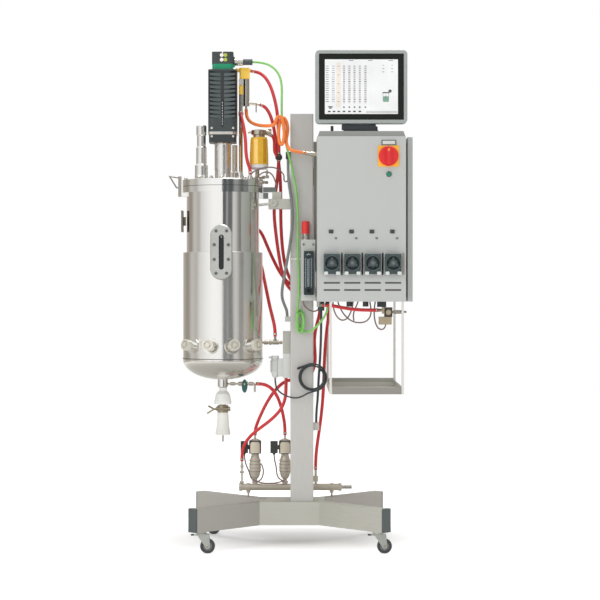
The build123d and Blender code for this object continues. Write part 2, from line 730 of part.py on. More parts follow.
# Bracket: the welded arm that carries the vessel's ear on the post
bracket_bottom = 1168
bracket_top = 1202
with BuildPart() as vessel_bracket:
    block(plate_left, vessel_y - 32, bracket_bottom, post_left - plate_left, 64, bracket_top - bracket_bottom)
    block(plate_left + 4, vessel_y - 28, bracket_bottom + 4, post_left - plate_left, 56,
          bracket_top - bracket_bottom - 8,
          Mode.SUBTRACT)
    block(vessel_x + 172, vessel_y - 20, bracket_top, 32, 40, flange_bottom + 4 - bracket_top)
    facing_bar(plate_left + 17, bracket_bottom + 19, vessel_y - 44, vessel_y - 31, 12)
    facing_bar(plate_left + 17, bracket_bottom + 19, vessel_y - 45, vessel_y - 40, 6, Mode.SUBTRACT)
    rod((plate_left + 10, vessel_y - 38, bracket_bottom + 17),
        (vessel_x + 123, vessel_y - 38, bracket_bottom + 12), 4.5)
vessel_bracket.part.label = "vessel_bracket"
export_step(vessel_bracket.part, "parts/vessel_bracket.step")

# Bottom drain valve: body with a skirt, a two-part clamp, and the turning cone handle
skirt_bottom = 489
ferrule_bottom = 461
spindle_radius = 5
with BuildPart() as drain_valve:
    turned(vessel_x, vessel_y, [(0, neck_bottom), (neck_radius - 3, neck_bottom),
                                (neck_radius - 5, neck_bottom - 14),
                                (23, skirt_bottom + 36), (29, skirt_bottom + 14), (30, skirt_bottom + 10),
                                (30, skirt_bottom), (26, skirt_bottom), (26, skirt_bottom + 8),
                                (12, skirt_bottom + 8),
                                (12, ferrule_bottom + 24), (19, ferrule_bottom + 24),
                                (19, ferrule_bottom), (0, ferrule_bottom)])
    turned(vessel_x, vessel_y, [(19, ferrule_bottom + 5), (24, ferrule_bottom + 5), (24, ferrule_bottom + 19),
                                (19, ferrule_bottom + 19)])
    bar_z = ferrule_bottom + 12
    bar_y = vessel_y - 24
    rod((vessel_x - 32, bar_y, bar_z), (vessel_x + 26, bar_y, bar_z), 4)
    rod((vessel_x + 18, bar_y, bar_z), (vessel_x + 27, bar_y, bar_z), 7)
    rod((vessel_x - 30, bar_y, bar_z), (vessel_x - 50, bar_y, bar_z + 11), 3.2)
    rod((vessel_x - 30, bar_y, bar_z), (vessel_x - 54, bar_y, bar_z - 15), 3.2)
    bar(vessel_x, vessel_y, ferrule_bottom - 1, neck_bottom - 20, spindle_radius + pin_gap, Mode.SUBTRACT)
drain_valve.part.label = "drain_valve"
export_step(drain_valve.part, "parts/drain_valve.step")

cone_top = ferrule_bottom - turn_gap
with BuildPart() as drain_knob:
    turned(vessel_x, vessel_y, [(0, 358), (3, 358), (3, 382), (25, 382), (26.7, 386), (23.5, 402),
                                (21.5, 420),
                                (19.2, cone_top - 2), (18, cone_top), (spindle_radius, cone_top),
                                (spindle_radius, neck_bottom - 24), (0, neck_bottom - 24)])
drain_knob.part.label = "drain_knob"
export_step(drain_knob.part, "parts/drain_knob.step")

# Sampling line at the neck: pipe, valve body with a lever, and a drip stub
line_z = 559.4
lever_x = -156
lever_y = vessel_y - 12
with BuildPart() as sample_valve:
    rod((vessel_x + neck_radius, vessel_y, line_z), (-120, vessel_y, line_z), 3.5)
    bar(vessel_x, vessel_y, line_z - 10, line_z + 10, neck_radius + seat_gap, Mode.SUBTRACT)
    rod((-206, vessel_y, line_z), (-190, vessel_y, line_z), 6)
    rod((-178, vessel_y, line_z), (-166, vessel_y, line_z), 7)
    rod((-167, vessel_y, line_z), (-145, vessel_y, line_z), 8)
    rod((-142, vessel_y, line_z), (-126, vessel_y, line_z), 6.5)
    bar(-121, vessel_y, 531, line_z, 3.2)
    facing_bar(lever_x, line_z, lever_y, vessel_y, 5)
    facing_bar(lever_x, line_z, lever_y - 14, vessel_y, 3)
sample_valve.part.label = "sample_valve"
export_step(sample_valve.part, "parts/sample_valve.step")

with BuildPart() as sample_handle:
    with BuildSketch(Plane((lever_x, lever_y - turn_gap, line_z), x_dir=(1, 0, 0), z_dir=(0, -1, 0))):
        with Locations((0, -7)):
            Ellipse(9.8, 23)
    extrude(amount=10)
    chamfer(sample_handle.faces().filter_by(Axis.Y).edges(), length=1.5)
    facing_bar(lever_x, line_z, lever_y - 20, lever_y, 3 + pin_gap, Mode.SUBTRACT)
sample_handle.part.label = "sample_handle"
export_step(sample_handle.part, "parts/sample_handle.step")

# Jacket water inlet: nipple on the jacket with a tee and a hose barb
box_left = -23
box_bottom = 581
box_top = 743
inlet_z = box_bottom + 123
inlet_x = -50
with BuildPart() as jacket_inlet:
    rod((vessel_x + jacket_radius - 2, vessel_y, inlet_z), (box_left - 1, vessel_y, inlet_z), 5)
    rod((-89, vessel_y, inlet_z), (-74, vessel_y, inlet_z), 8)
    rod((-71, vessel_y, inlet_z), (-62, vessel_y, inlet_z), 9)
    rod((-60, vessel_y, inlet_z), (-36, vessel_y, inlet_z), 8)
    rod((-33, vessel_y, inlet_z), (-26, vessel_y, inlet_z), 6.5)
    bar(inlet_x, vessel_y, inlet_z, inlet_z + 20, 4)
    bar(inlet_x, vessel_y, inlet_z, inlet_z + 11, 6)
    bar(vessel_x, vessel_y, inlet_z - 20, inlet_z + 20, jacket_radius + seat_gap, Mode.SUBTRACT)
jacket_inlet.part.label = "jacket_inlet"
export_step(jacket_inlet.part, "parts/jacket_inlet.step")

# Junction box on the post's left side with its pressure transmitter
with BuildPart() as junction_box:
    block(box_left, vessel_y - 22, box_bottom, post_left - box_left, 44, box_top - box_bottom)
    block(-40, vessel_y - 16, box_bottom + 4, 18, 32, 62)
    turned(-50, vessel_y, [(0, box_bottom), (8, box_bottom), (13, box_bottom + 14), (16, box_bottom + 20),
                           (16, box_bottom + 60), (13, box_bottom + 64), (13, box_bottom + 76),
                           (0, box_bottom + 76)])
    for ring in range(4):
        bar(-50, vessel_y, box_bottom + 22 + 10 * ring, box_bottom + 26 + 10 * ring, 17.5)
    rod((-50, vessel_y, box_bottom + 70), (-72, vessel_y, box_bottom + 70), 3.5)
junction_box.part.label = "junction_box"
export_step(junction_box.part, "parts/junction_box.step")

# Steam manifold behind the post: header pipe on two clips, two angle valves and two barbs
valve_places = (-122, -16)
clip_places = (-146, 150)
left_barb_x = -169
right_barb_x = 93
valve_top = 355
barb_top = 371
left_barb_top = 278
right_barb_top = 248
with BuildPart() as steam_manifold:
    rod((manifold_left, manifold_y, manifold_height), (manifold_right, manifold_y, manifold_height),
        manifold_radius)
    for x in (manifold_left + 5, manifold_right - 6):
        rod((x - 5, manifold_y, manifold_height), (x + 5, manifold_y, manifold_height), manifold_radius + 2)
    rod((manifold_right, manifold_y, manifold_height), (manifold_right + 36, manifold_y, manifold_height),
        6.5)
    for x in clip_places:
        rod((x - 6, manifold_y, manifold_height), (x + 6, manifold_y, manifold_height), manifold_radius + 2.2)
        bar(x, manifold_y, beam_top, manifold_height, 3.5)
        bar(x, manifold_y, manifold_height - 20, manifold_height, 7)
    for x in valve_places:
        turned(x, manifold_y, [(0, manifold_height), (6.5, manifold_height), (7, 214), (15, 224),
                               (20, 244), (20.5, 262),
                               (18, 284), (14, 296), (9.5, 298), (9.5, 304), (21.5, 306), (21.5, 350),
                               (16, valve_top),
                               (0, valve_top)])
        for ring in (244, 256, 268, 280):
            bar(x, manifold_y, ring, ring + 3, 21.5)
        block(x - 52, manifold_y + 8, 306, 26, 26, 42)
        rod((x - 30, manifold_y + 18, 327), (x, manifold_y, 327), 8)
        bar(x, manifold_y, valve_top - 2, barb_top, 3.5)
    bar(left_barb_x, manifold_y, manifold_height, left_barb_top, 3.3)
    bar(left_barb_x, manifold_y, 256, 264, 6)
    bar(right_barb_x, manifold_y, manifold_height, right_barb_top, 4.5)
    bar(right_barb_x, manifold_y, 206, 226, 9)
steam_manifold.part.label = "steam_manifold"
export_step(steam_manifold.part, "parts/steam_manifold.step")

# Control cabinet: a folded steel case, its hipped roof and the cable duct on its far side
panel_front = cabinet_front - cabinet_wall
arm_bottom = cabinet_bottom + 103
orange_y = -115
orange_z = cabinet_top - 51.7
return_y = 46
return_z = cabinet_bottom + 21
arm_height = 60
with BuildPart() as cabinet_shell:
    block(cabinet_left, cabinet_front, cabinet_bottom, cabinet_width, cabinet_depth, cabinet_height)
    block(cabinet_left + cabinet_wall, cabinet_front - 1, cabinet_bottom + cabinet_wall,
          cabinet_width - 2 * cabinet_wall,
          cabinet_depth + 1 - cabinet_wall, cabinet_height - 2 * cabinet_wall, Mode.SUBTRACT)
    with BuildSketch(Plane((cabinet_left + cabinet_width / 2, cabinet_front + cabinet_depth / 2,
                            cabinet_top))) as eaves:
        Rectangle(cabinet_width - 4, cabinet_depth - 4)
    with BuildSketch(Plane((cabinet_left + cabinet_width / 2, cabinet_front + cabinet_depth / 2,
                            roof_top))) as ridge:
        Rectangle(cabinet_width - 4 - 2 * roof_slope, cabinet_depth - 4 - 2 * roof_slope)
    loft([eaves.sketch, ridge.sketch])
    block(cabinet_right + duct_gap, cabinet_front + duct_setback, cabinet_bottom, duct_width,
          cabinet_depth - 2 * duct_setback, cabinet_height)
    block(cabinet_right - 1, cabinet_front + duct_setback + 20, cabinet_bottom + 20, duct_gap + 2,
          cabinet_depth - 2 * duct_setback - 40, cabinet_height - 40)
    rod((cabinet_left + 1, orange_y, orange_z), (cabinet_left - 36, orange_y, orange_z + 6.3), 6.5)
    rod((cabinet_left - 4, orange_y, orange_z + 0.9), (cabinet_left - 20, orange_y, orange_z + 3.6), 9)
    for place in range(3):
        wall_y = return_y + 18 * place
        rod((cabinet_left + 1, wall_y, return_z + 12 * place),
            (cabinet_left - 10, wall_y, return_z + 12 * place), 7)
    for bottom in (arm_bottom, arm_bottom + 300):
        block(post_right, post_front + 15, bottom, cabinet_left - post_right, post_depth - 30, arm_height)
cabinet_shell.part.label = "cabinet_shell"
export_step(cabinet_shell.part, "parts/cabinet_shell.step")

pump_places = [pump_first + pump_pitch * step for step in range(4)]
slot_rows = (cabinet_bottom + 63, cabinet_bottom + 39)
rocker_z = pump_middle + 109
mark_z = pump_middle + 86.5
lamp_z = switch_z - 60.5
with BuildPart() as cabinet_front_panel:
    block(cabinet_left, panel_front, cabinet_bottom, cabinet_width, cabinet_wall, cabinet_height)
    for x in pump_places:
        for row in slot_rows:
            upright_slab(x, row, panel_front - 1, cabinet_front + 1, 55, 6, 2.5, Mode.SUBTRACT)
        block(x + pump_pitch / 2 - 3, panel_front - 1, pump_middle - 37, 5, 5, 75, Mode.SUBTRACT)
        upright_slab(x - 2.5, rocker_z, panel_front - 2.5, cabinet_front - 1, 15.4, 12.4, 1.5)
        upright_slab(x + 13.5, mark_z, panel_front - 1.5, cabinet_front - 1, 8, 6.5, 1.5)
        facing_bar(x, pump_middle, panel_front - 1, cabinet_front + 1, 8, Mode.SUBTRACT)
    facing_bar(switch_x + 1.5, lamp_z, panel_front - 5, cabinet_front - 1, 8)
    label_z = switch_z + switch_plate_width / 2 + 10
    upright_slab(switch_x + 1, label_z, panel_front - 3, cabinet_front - 1, 50, 17, 2)
    upright_slab(switch_x + 1, label_z, panel_front - 4, panel_front - 1.5, 44, 13, 1, Mode.SUBTRACT)
    facing_bar(switch_x, switch_z, panel_front - 1, cabinet_front + 1, 12, Mode.SUBTRACT)
cabinet_front_panel.part.label = "cabinet_front"
export_step(cabinet_front_panel.part, "parts/cabinet_front.step")

# Pumps: four heads with an open well each, and a three-roller rotor in every well
head_front = panel_front - pump_depth
well_floor = panel_front - 4
with BuildPart() as pump_heads:
    for x in pump_places:
        upright_slab(x, pump_middle, head_front, panel_front, pump_width, pump_height, 3)
        facing_bar(x, pump_middle + 3, head_front - 1, well_floor, rotor_radius + 3, Mode.SUBTRACT)
        facing_bar(x, pump_middle + 3, head_front - 1, panel_front + 1, 4 + pin_gap, Mode.SUBTRACT)
        for side in (-1, 1):
            upright_slab(x + side * 20, pump_middle - 31, head_front - 3, panel_front, 13, 11, 2)
pump_heads.part.label = "pump_heads"
export_step(pump_heads.part, "parts/pump_heads.step")


def pump_rotor(x):
    """Hub plate with three rollers on a short shaft."""
    z = pump_middle + 3
    with BuildPart() as rotor:
        facing_bar(x, z, head_front + 8, well_floor - turn_gap, 15)
        facing_bar(x, z, head_front + 3, panel_front + 6, 4)
        facing_bar(x, z, head_front + 3, head_front + 8, 10)
        for step in range(3):
            turn = radians(90 + 120 * step)
            facing_bar(x + 14 * cos(turn), z + 14 * sin(turn), head_front + 5, well_floor - turn_gap - 1, 5.5)
    return rotor.part


for number, x in enumerate(pump_places, start=1):
    rotor_part = pump_rotor(x)
    rotor_part.label = f"pump_rotor_{number}"
    export_step(rotor_part, f"parts/pump_rotor_{number}.step")

# Main switch: square plate and the round knob with its grip
plate_front = panel_front - switch_plate_thickness
with BuildPart() as switch_plate:
    upright_slab(switch_x, switch_z, plate_front, panel_front, switch_plate_width, switch_plate_width, 4)
    facing_bar(switch_x, switch_z, plate_front - 1, panel_front + 1, 5 + pin_gap, Mode.SUBTRACT)
switch_plate.part.label = "switch_plate"
export_step(switch_plate.part, "parts/switch_plate.step")

knob_back = plate_front - turn_gap
with BuildPart() as switch_knob:
    facing_bar(switch_x, switch_z, knob_back - 9, knob_back, switch_radius)
    chamfer(switch_knob.faces().sort_by(Axis.Y)[0].edges(), length=2)
    upright_slab(switch_x, switch_z, knob_back - 24, knob_back - 8, 16, 2 * switch_radius - 8, 7)
    facing_bar(switch_x, switch_z, knob_back, panel_front + 8, 5)
switch_knob.part.label = "switch_knob"
export_step(switch_knob.part, "parts/switch_knob.step")

# Monitor: rounded housing with a glass front, tilting on a stand on the roof
monitor_x = monitor_left + monitor_width / 2
monitor_z = monitor_bottom + monitor_height / 2
hinge_y = monitor_front + 38
hinge_z = monitor_bottom - 10
ear_places = (-42, 42)
with BuildPart() as monitor_housing:
    upright_slab(monitor_x, monitor_z, monitor_front, monitor_front + monitor_depth, monitor_width,
                 monitor_height, monitor_corner)
    fillet(monitor_housing.faces().sort_by(Axis.Y)[0].edges(), radius=3)
    upright_slab(monitor_x, monitor_z, monitor_front - 1, monitor_front + 4, monitor_width - 2 * bezel,
                 monitor_height - 2 * bezel, 2, Mode.SUBTRACT)
    for across in ear_places:
        block(monitor_x - 2 + across - 6, hinge_y - 6, hinge_z, 12, 12, monitor_bottom - hinge_z + 1)
        rod((monitor_x - 2 + across - 6, hinge_y, hinge_z),
            (monitor_x - 2 + across + 6, hinge_y, hinge_z), hinge_radius)
    rod((monitor_x - 70, hinge_y, hinge_z), (monitor_x + 70, hinge_y, hinge_z), 3 + pin_gap, Mode.SUBTRACT)
monitor_housing.part.label = "monitor_housing"
export_step(monitor_housing.part, "parts/monitor_housing.step")

with BuildPart() as monitor_glass:
    upright_slab(monitor_x, monitor_z, monitor_front + 1, monitor_front + 4, monitor_width - 2 * bezel - 1,
                 monitor_height - 2 * bezel - 1, 2)
monitor_glass.part.label = "monitor_glass"
export_step(monitor_glass.part, "parts/monitor_glass.step")

stand_left = monitor_x - 60
with BuildPart() as monitor_stand:
    block(stand_left, hinge_y - 25, roof_top, 117, 60, 6)
    for across in (-58, -34, 28, 50):
        block(monitor_x - 2 + across, hinge_y - 7, roof_top + 5, 8, 14, hinge_z - roof_top - 3)
    rod((monitor_x - 60, hinge_y, hinge_z), (monitor_x + 56, hinge_y, hinge_z), 3)
    bar(monitor_left + 57, hinge_y, roof_top, monitor_bottom - 6, 5)
monitor_stand.part.label = "monitor_stand"
export_step(monitor_stand.part, "parts/monitor_stand.step")

# Shelf: four thin posts under the cabinet and a folded tray
shelf_right = shelf_left + shelf_width
tray_top = tray_bottom + tray_height
with BuildPart() as shelf_frame:
    for x in (shelf_left, shelf_right - shelf_post):
        for y in (cabinet_front, cabinet_back - shelf_post):
            block(x, y, tray_bottom, shelf_post, shelf_post, cabinet_bottom - tray_bottom)
    block(shelf_left + 1, cabinet_front + 1, tray_bottom, shelf_width - 2, cabinet_depth - 2, tray_height)
    block(shelf_left + 1 + tray_wall, cabinet_front + 1 + tray_wall, tray_bottom + tray_wall,
          shelf_width - 2 - 2 * tray_wall,
          cabinet_depth - 2 - 2 * tray_wall, tray_height, Mode.SUBTRACT)
    for x in (shelf_left, shelf_right - shelf_post):
        for y in (cabinet_front, cabinet_back - shelf_post):
            block(x, y, tray_bottom, shelf_post, shelf_post, tray_height)
shelf_frame.part.label = "shelf_frame"
export_step(shelf_frame.part, "parts/shelf_frame.step")

# Flow meter on the post's front, with its needle valve, and the air valve above it
meter_plate = 3
meter_face = meter_front - 14
air_x = meter_x - 9
air_y = post_front - 15
with BuildPart() as flow_meter:
    block(meter_left + 4, meter_front + meter_plate, meter_bottom + 6, meter_width - 8,
          post_front - meter_front - meter_plate,
          meter_height - 12)
    block(meter_left, meter_front, meter_bottom, meter_width, meter_plate, meter_height)
    block(meter_x - 15, meter_face, meter_bottom + 20, 34, meter_front - meter_face, 151)
    block(meter_x - 6, meter_face - 1, meter_bottom + 48, 14, 7, 100, Mode.SUBTRACT)
    bar(meter_x + 1, meter_face + 6, meter_bottom + 40, meter_bottom + 152, 4.5)
    facing_bar(meter_x + 2, meter_bottom + 34, meter_face - 1, meter_front, 4 + pin_gap, Mode.SUBTRACT)
    for across in (-16, 17):
        facing_bar(meter_x + across, meter_top - 17, meter_front - 2.5, meter_front + 1, 4)
    bar(air_x, air_y, meter_top - 7, meter_top + 20, 9)
    bar(air_x, air_y, meter_top + 10, meter_top + 32, 4)
flow_meter.part.label = "flow_meter"
export_step(flow_meter.part, "parts/flow_meter.step")

with BuildPart() as flow_knob:
    facing_bar(meter_x + 2, meter_bottom + 34, meter_face - 13, meter_face - turn_gap, 7)
    facing_bar(meter_x + 2, meter_bottom + 34, meter_face - 1, meter_front - 1, 4)
flow_knob.part.label = "flow_knob"
export_step(flow_knob.part, "parts/flow_knob.step")

air_bottom = meter_top + 20 + turn_gap
with BuildPart() as air_knob:
    bar(air_x, air_y, air_bottom, air_bottom + 43, 13)
    chamfer(air_knob.faces().sort_by(Axis.Z)[-1].edges(), length=2)
    bar(air_x, air_y, air_bottom - 1, meter_top + 33, 4 + pin_gap, Mode.SUBTRACT)
air_knob.part.label = "air_knob"
export_step(air_knob.part, "parts/air_knob.step")

# Gas line under the cabinet: solenoid valve, fittings, glands and the wall plugs for the hoses
gas_y = -150
gas_z = cabinet_bottom - 36
with BuildPart() as gas_block:
    block(300, gas_y - 16, cabinet_bottom - 19, 30, 32, 19)
    block(324, gas_y - 16, gas_z - 17, 27, 32, 33)
    facing_bar(337.5, gas_z - 1, gas_y - 20, gas_y, 9)
    block(305, gas_y - 14, gas_z - 43, 44, 28, 27)
    rod((306, gas_y, gas_z + 6), (326, gas_y, gas_z + 6), 5)
    block(316, gas_y - 10, gas_z - 6, 10, 20, 24)
    rod((350, gas_y, gas_z), (358, gas_y, gas_z), 5)
    rod((357, gas_y, gas_z), (385, gas_y, gas_z), 6.5)
    rod((385, gas_y, gas_z), (400, gas_y, gas_z), 3.5)
    bar(100, gas_y, cabinet_bottom - 19, cabinet_bottom, 7)
    rod((100, gas_y, cabinet_bottom - 13), (112, gas_y, cabinet_bottom - 13), 5.5)
    for x, y, depth, radius in ((108, -120, 32, 11), (131, -120, 10, 8), (140, 104, 8, 8), (108, 50, 8, 8),
                                (206, gas_y + 40, 18, 10), (262, gas_y + 40, 18, 10), (110, -60, 32, 11)):
        bar(x, y, cabinet_bottom - depth, cabinet_bottom, radius)
gas_block.part.label = "gas_block"
export_step(gas_block.part, "parts/gas_block.step")

# Hoses and cables: each tube's route runs from fitting face to fitting face
routes = {
    "green_in": [(-129, -30, 1680), (-99, -30, 1680), (-61, -36, 1666), (-36, -46, 1637), (-26, -58, 1598),
                 (-27, -68, 1545), (-27, -76, 1485), (-20, -83, 1430), (-8, -89, 1372), (8, -92, 1310),
                 (21, -93, 1246), (27, -92, 1180), (30, -88, 1105), (28, -86, 1020), (32, -86, 940),
                 (32, -89, 885), (33, -92, 843), (33, -92, 816)],
    "green_out": [(52, -92, 746), (66, -95, 742), (82, -103, 750), (101, -113, 768), (119, -119, 792),
                  (131, -120, 816), (131, -120, 837)],
    "orange_in": [(-152, 20, 1521), (-152, 20, 1498), (-140, -3, 1476), (-121, -34, 1463), (-102, -66, 1456),
                  (-84, -96, 1452), (-66, -108, 1450), (-49, -108, 1450)],
    "orange_out": [(-14.3, -108, 1387.8), (-6, -108, 1373.4), (12, -111, 1365), (34, -115, 1360.5),
                   (57, -115, 1356.6)],
    "grey": [(-5, -62, 1340), (-5, -62, 1317), (-4, -69, 1285), (-2, -76, 1252), (4, -82, 1216),
             (9, -86, 1175),
             (10, -87, 1120), (5, -87, 1065), (-5, -85, 1005), (-16, -78, 945), (-25, -68, 895),
             (-27, -55, 862),
             (-18, -44, 834), (-8, -40, 813), (-8, -40, 794)],
    "black_down": [(110, -60, 815), (110, -60, 780), (109, -58, 715), (106, -54, 645), (101, -48, 575),
                   (98, -41, 505), (93, -34, 455), (93, -34, 425)],
    "coil_lead": [(-50, -30, 581), (-50, -30, 561), (-42, -50, 537), (-14, -80, 520), (18, -92, 512),
                  (44, -92, 518), (57.1, -92, 537.6)],
    "red_1": [(-134.5, 20, 1655), (-110.5, 20, 1652), (-86, 8, 1634), (-67, -4, 1602), (-52, -14, 1555),
              (-42, -20, 1503), (-38, -18, 1432), (-37, -2, 1378), (-38, 12, 1326), (-43, 22, 1272),
              (-51, 28, 1216), (-55, 31, 1160), (-50, 33, 1100), (-40, 35, 1023), (-28, 38, 952),
              (-12, 42, 905),
              (16, 46, 876), (52, 46, 868), (83, 46, 868)],
    "red_2": [(-104, 20, 1537), (-88, 20, 1532.1), (-71, 17, 1509), (-59, 13, 1475), (-50, 14, 1428),
              (-44, 24, 1375), (-36, 36, 1322), (-31, 45, 1252), (-31, 49, 1175), (-30, 51, 1100),
              (-24, 55, 1020),
              (-12, 60, 955), (12, 64, 905), (50, 64, 880), (83, 64, 880)],
    "red_3": [(-171, 4, 1504), (-171, -14, 1504), (-166, -34, 1482), (-158, -50, 1448), (-152, -63, 1404),
              (-151, -70, 1360), (-145, -69, 1326), (-136, -64, 1305), (-136, -64, 1286)],
    "red_4": [(-72, -12, 1429), (-57, -1.5, 1426.8), (-52, -4, 1403), (-53, -9, 1380), (-50, -8, 1362),
              (-41.3, 1.2, 1352)],
    "red_5": [side_point(148, return_height), side_point(166, return_height), (-98, 96, 1088),
              (-79, 93, 1042),
              (-56, 89, 990), (-32, 86, 944), (-4, 83, 910), (34, 82, 892), (60, 82, 892), (83, 82, 892.5)],
    "red_6": [side_point(152, jacket_outlet_height), side_point(180, jacket_outlet_height), (-96, 88, 958),
              (-89, 62, 922), (-80, 32, 880), (-70, 4, 832), (-59, -18, 790), (-50, -30, 752),
              (-50, -30, 724)],
    "red_7": [(-117.5, -30, 559.4), (-97, -30, 559.4), (-75, -18, 552), (-54, 4, 533), (-38, 32, 502),
              (-26, 60, 462), (-18, 84, 418), (-16, 95, 391), (-16, 95, 371)],
    "red_8": [(108, 50, 839), (108, 50, 806), (95, 50, 762), (87, 50, 715), (90, 48, 668), (91, 46, 628),
              (78, 44, 590), (48, 43, 573), (14, 43, 572), (-18, 45, 564), (-50, 50, 535), (-80, 60, 490),
              (-102, 76, 444), (-116, 90, 410), (-122, 95, 389), (-122, 95, 371)],
    "red_9": [(-12, -20, 581), (-12, -20, 548), (-14, -14, 508), (-28, 0, 470), (-58, 20, 436),
              (-92, 42, 408),
              (-124, 62, 384), (-152, 82, 354), (-165, 92, 324), (-169, 95, 300), (-169, 95, 278)],
    "red_10": [(140, 104, 839), (140, 104, 800), (132, 108, 740), (126, 111, 670), (123, 112, 600),
               (121, 111, 535), (116, 108, 465), (107, 103, 395), (98, 98, 335), (93, 95, 288),
               (93, 95, 248)],
    "red_11": [(112, -150, 834), (138, -150, 834), (178, -150, 826), (224, -150, 819), (268, -150, 817),
               (306, -150, 817)],
}
cords = {
    "green_cable": ([("green_in", signal_radius), ("green_out", signal_radius)]),
    "orange_hose": ([("orange_in", hose_radius), ("orange_out", hose_radius)]),
    "cable_leads": ([("grey", hose_radius), ("black_down", feed_radius), ("coil_lead", lead_radius)]),
    "red_hoses_upper": ([(f"red_{number}", hose_radius) for number in range(1, 5)]),
    "red_hoses_lower": ([(f"red_{number}", hose_radius) for number in range(5, 12)]),
}
for node, tubes in cords.items():
    with BuildPart() as bundle:
        for name, radius in tubes:
            add(hose(name, routes[name], radius))
    bundle.part.label = node
    export_step(bundle.part, f"parts/{node}.step")


def hank(x, y, z, width, height, strand, depth):
    """Tied bundle of turns as one closed solid, flat towards the front; the turns lie behind each other."""
    with BuildPart() as turns:
        with BuildSketch(Plane((x, y + depth / 2, z), x_dir=(0, 0, 1), z_dir=(0, -1, 0))):
            SlotOverall(height, width)
            SlotOverall(height - 4 * strand, width - 4 * strand, mode=Mode.SUBTRACT)
        extrude(amount=depth)
        fillet(turns.faces().filter_by(Axis.Y).edges(), radius=0.8 * strand)
    return turns.part


green_hank = hank(37, -92, 777, 32, 77, 4.6, 22)
green_hank.label = "green_hank"
export_step(green_hank, "parts/green_hank.step")

orange_coil = hank(-26, -108, 1437, 46, 104, 6.5, 26)
orange_coil.label = "orange_coil"
export_step(orange_coil, "parts/orange_coil.step")

with BuildPart() as black_coil:
    with Locations(Location((79, -92, 584), (90, 0, 0))):
        Torus(44.5, 6.5)
black_coil.part.label = "black_coil"
export_step(black_coil.part, "parts/black_coil.step")
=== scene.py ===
"""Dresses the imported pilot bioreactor: hoses, finishes, screen and small fittings."""

from __future__ import annotations

import logging
from dataclasses import dataclass
from enum import Enum
from functools import lru_cache

import bmesh
import bpy
import numpy as np
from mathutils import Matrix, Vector

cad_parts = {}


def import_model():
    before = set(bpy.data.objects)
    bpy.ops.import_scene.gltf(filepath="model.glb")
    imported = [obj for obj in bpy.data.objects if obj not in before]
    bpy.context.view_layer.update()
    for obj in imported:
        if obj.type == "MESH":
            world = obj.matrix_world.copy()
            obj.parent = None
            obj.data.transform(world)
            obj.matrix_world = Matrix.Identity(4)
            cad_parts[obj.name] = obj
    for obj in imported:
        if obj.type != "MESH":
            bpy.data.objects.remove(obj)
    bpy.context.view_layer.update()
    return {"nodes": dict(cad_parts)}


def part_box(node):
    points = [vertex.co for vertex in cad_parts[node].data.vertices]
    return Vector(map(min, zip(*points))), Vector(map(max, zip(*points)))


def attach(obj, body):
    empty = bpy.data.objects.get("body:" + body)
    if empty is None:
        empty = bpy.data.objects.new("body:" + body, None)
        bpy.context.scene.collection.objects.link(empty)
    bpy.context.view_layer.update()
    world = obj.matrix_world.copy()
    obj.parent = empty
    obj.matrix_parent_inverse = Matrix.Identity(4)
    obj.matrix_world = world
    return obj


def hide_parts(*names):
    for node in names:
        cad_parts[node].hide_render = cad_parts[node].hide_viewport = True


LOG = logging.getLogger("bioreactor")
STAND = "stand"
Point = tuple[float, float, float]
Colour = tuple[float, float, float]
Grid = tuple[np.ndarray, list]
OPEN_SPAN = 5.0  # metres; a zone wider than this along an axis has no limit there
SHARP_ANGLE = 35.0  # degrees; edges above it stay sharp
LINE_SIDES = 6  # bevel resolution of every cord
NOISE_LOW, NOISE_HIGH = 0.3, 0.7  # range that holds nearly all of a noise texture's values
SHADE, LIGHT = 0.86, 1.06  # darkest and lightest tones of a finish, as shares of its colour
GLASS_INDEX = 1.45
RUBBER_SHEEN = 0.15


class Facing(Enum):
    """Direction in which a turned or flat piece points."""

    UP = (0.0, 0.0, 1.0)
    FRONT = (0.0, -1.0, 0.0)


class Surface(Enum):
    """Kinds of finish, each with its own texture recipe."""

    BRUSHED = "brushed"
    POLISHED = "polished"
    PAINTED = "painted"
    MOULDED = "moulded"
    RUBBER = "rubber"
    CLEAR = "clear"
    SATIN = "satin"


def srgb(red: float, green: float, blue: float) -> Colour:
    """Turn 0 to 255 display values into linear colour.

    Args:
        red: red value.
        green: green value.
        blue: blue value.

    Returns:
        The linear colour.
    """
    values = np.array([red, green, blue]) / 255
    linear = np.where(values <= 0.04045, values / 12.92, ((values + 0.055) / 1.055) ** 2.4)
    return tuple(float(v) for v in linear)


# ---------------------------------------------------------------- materials


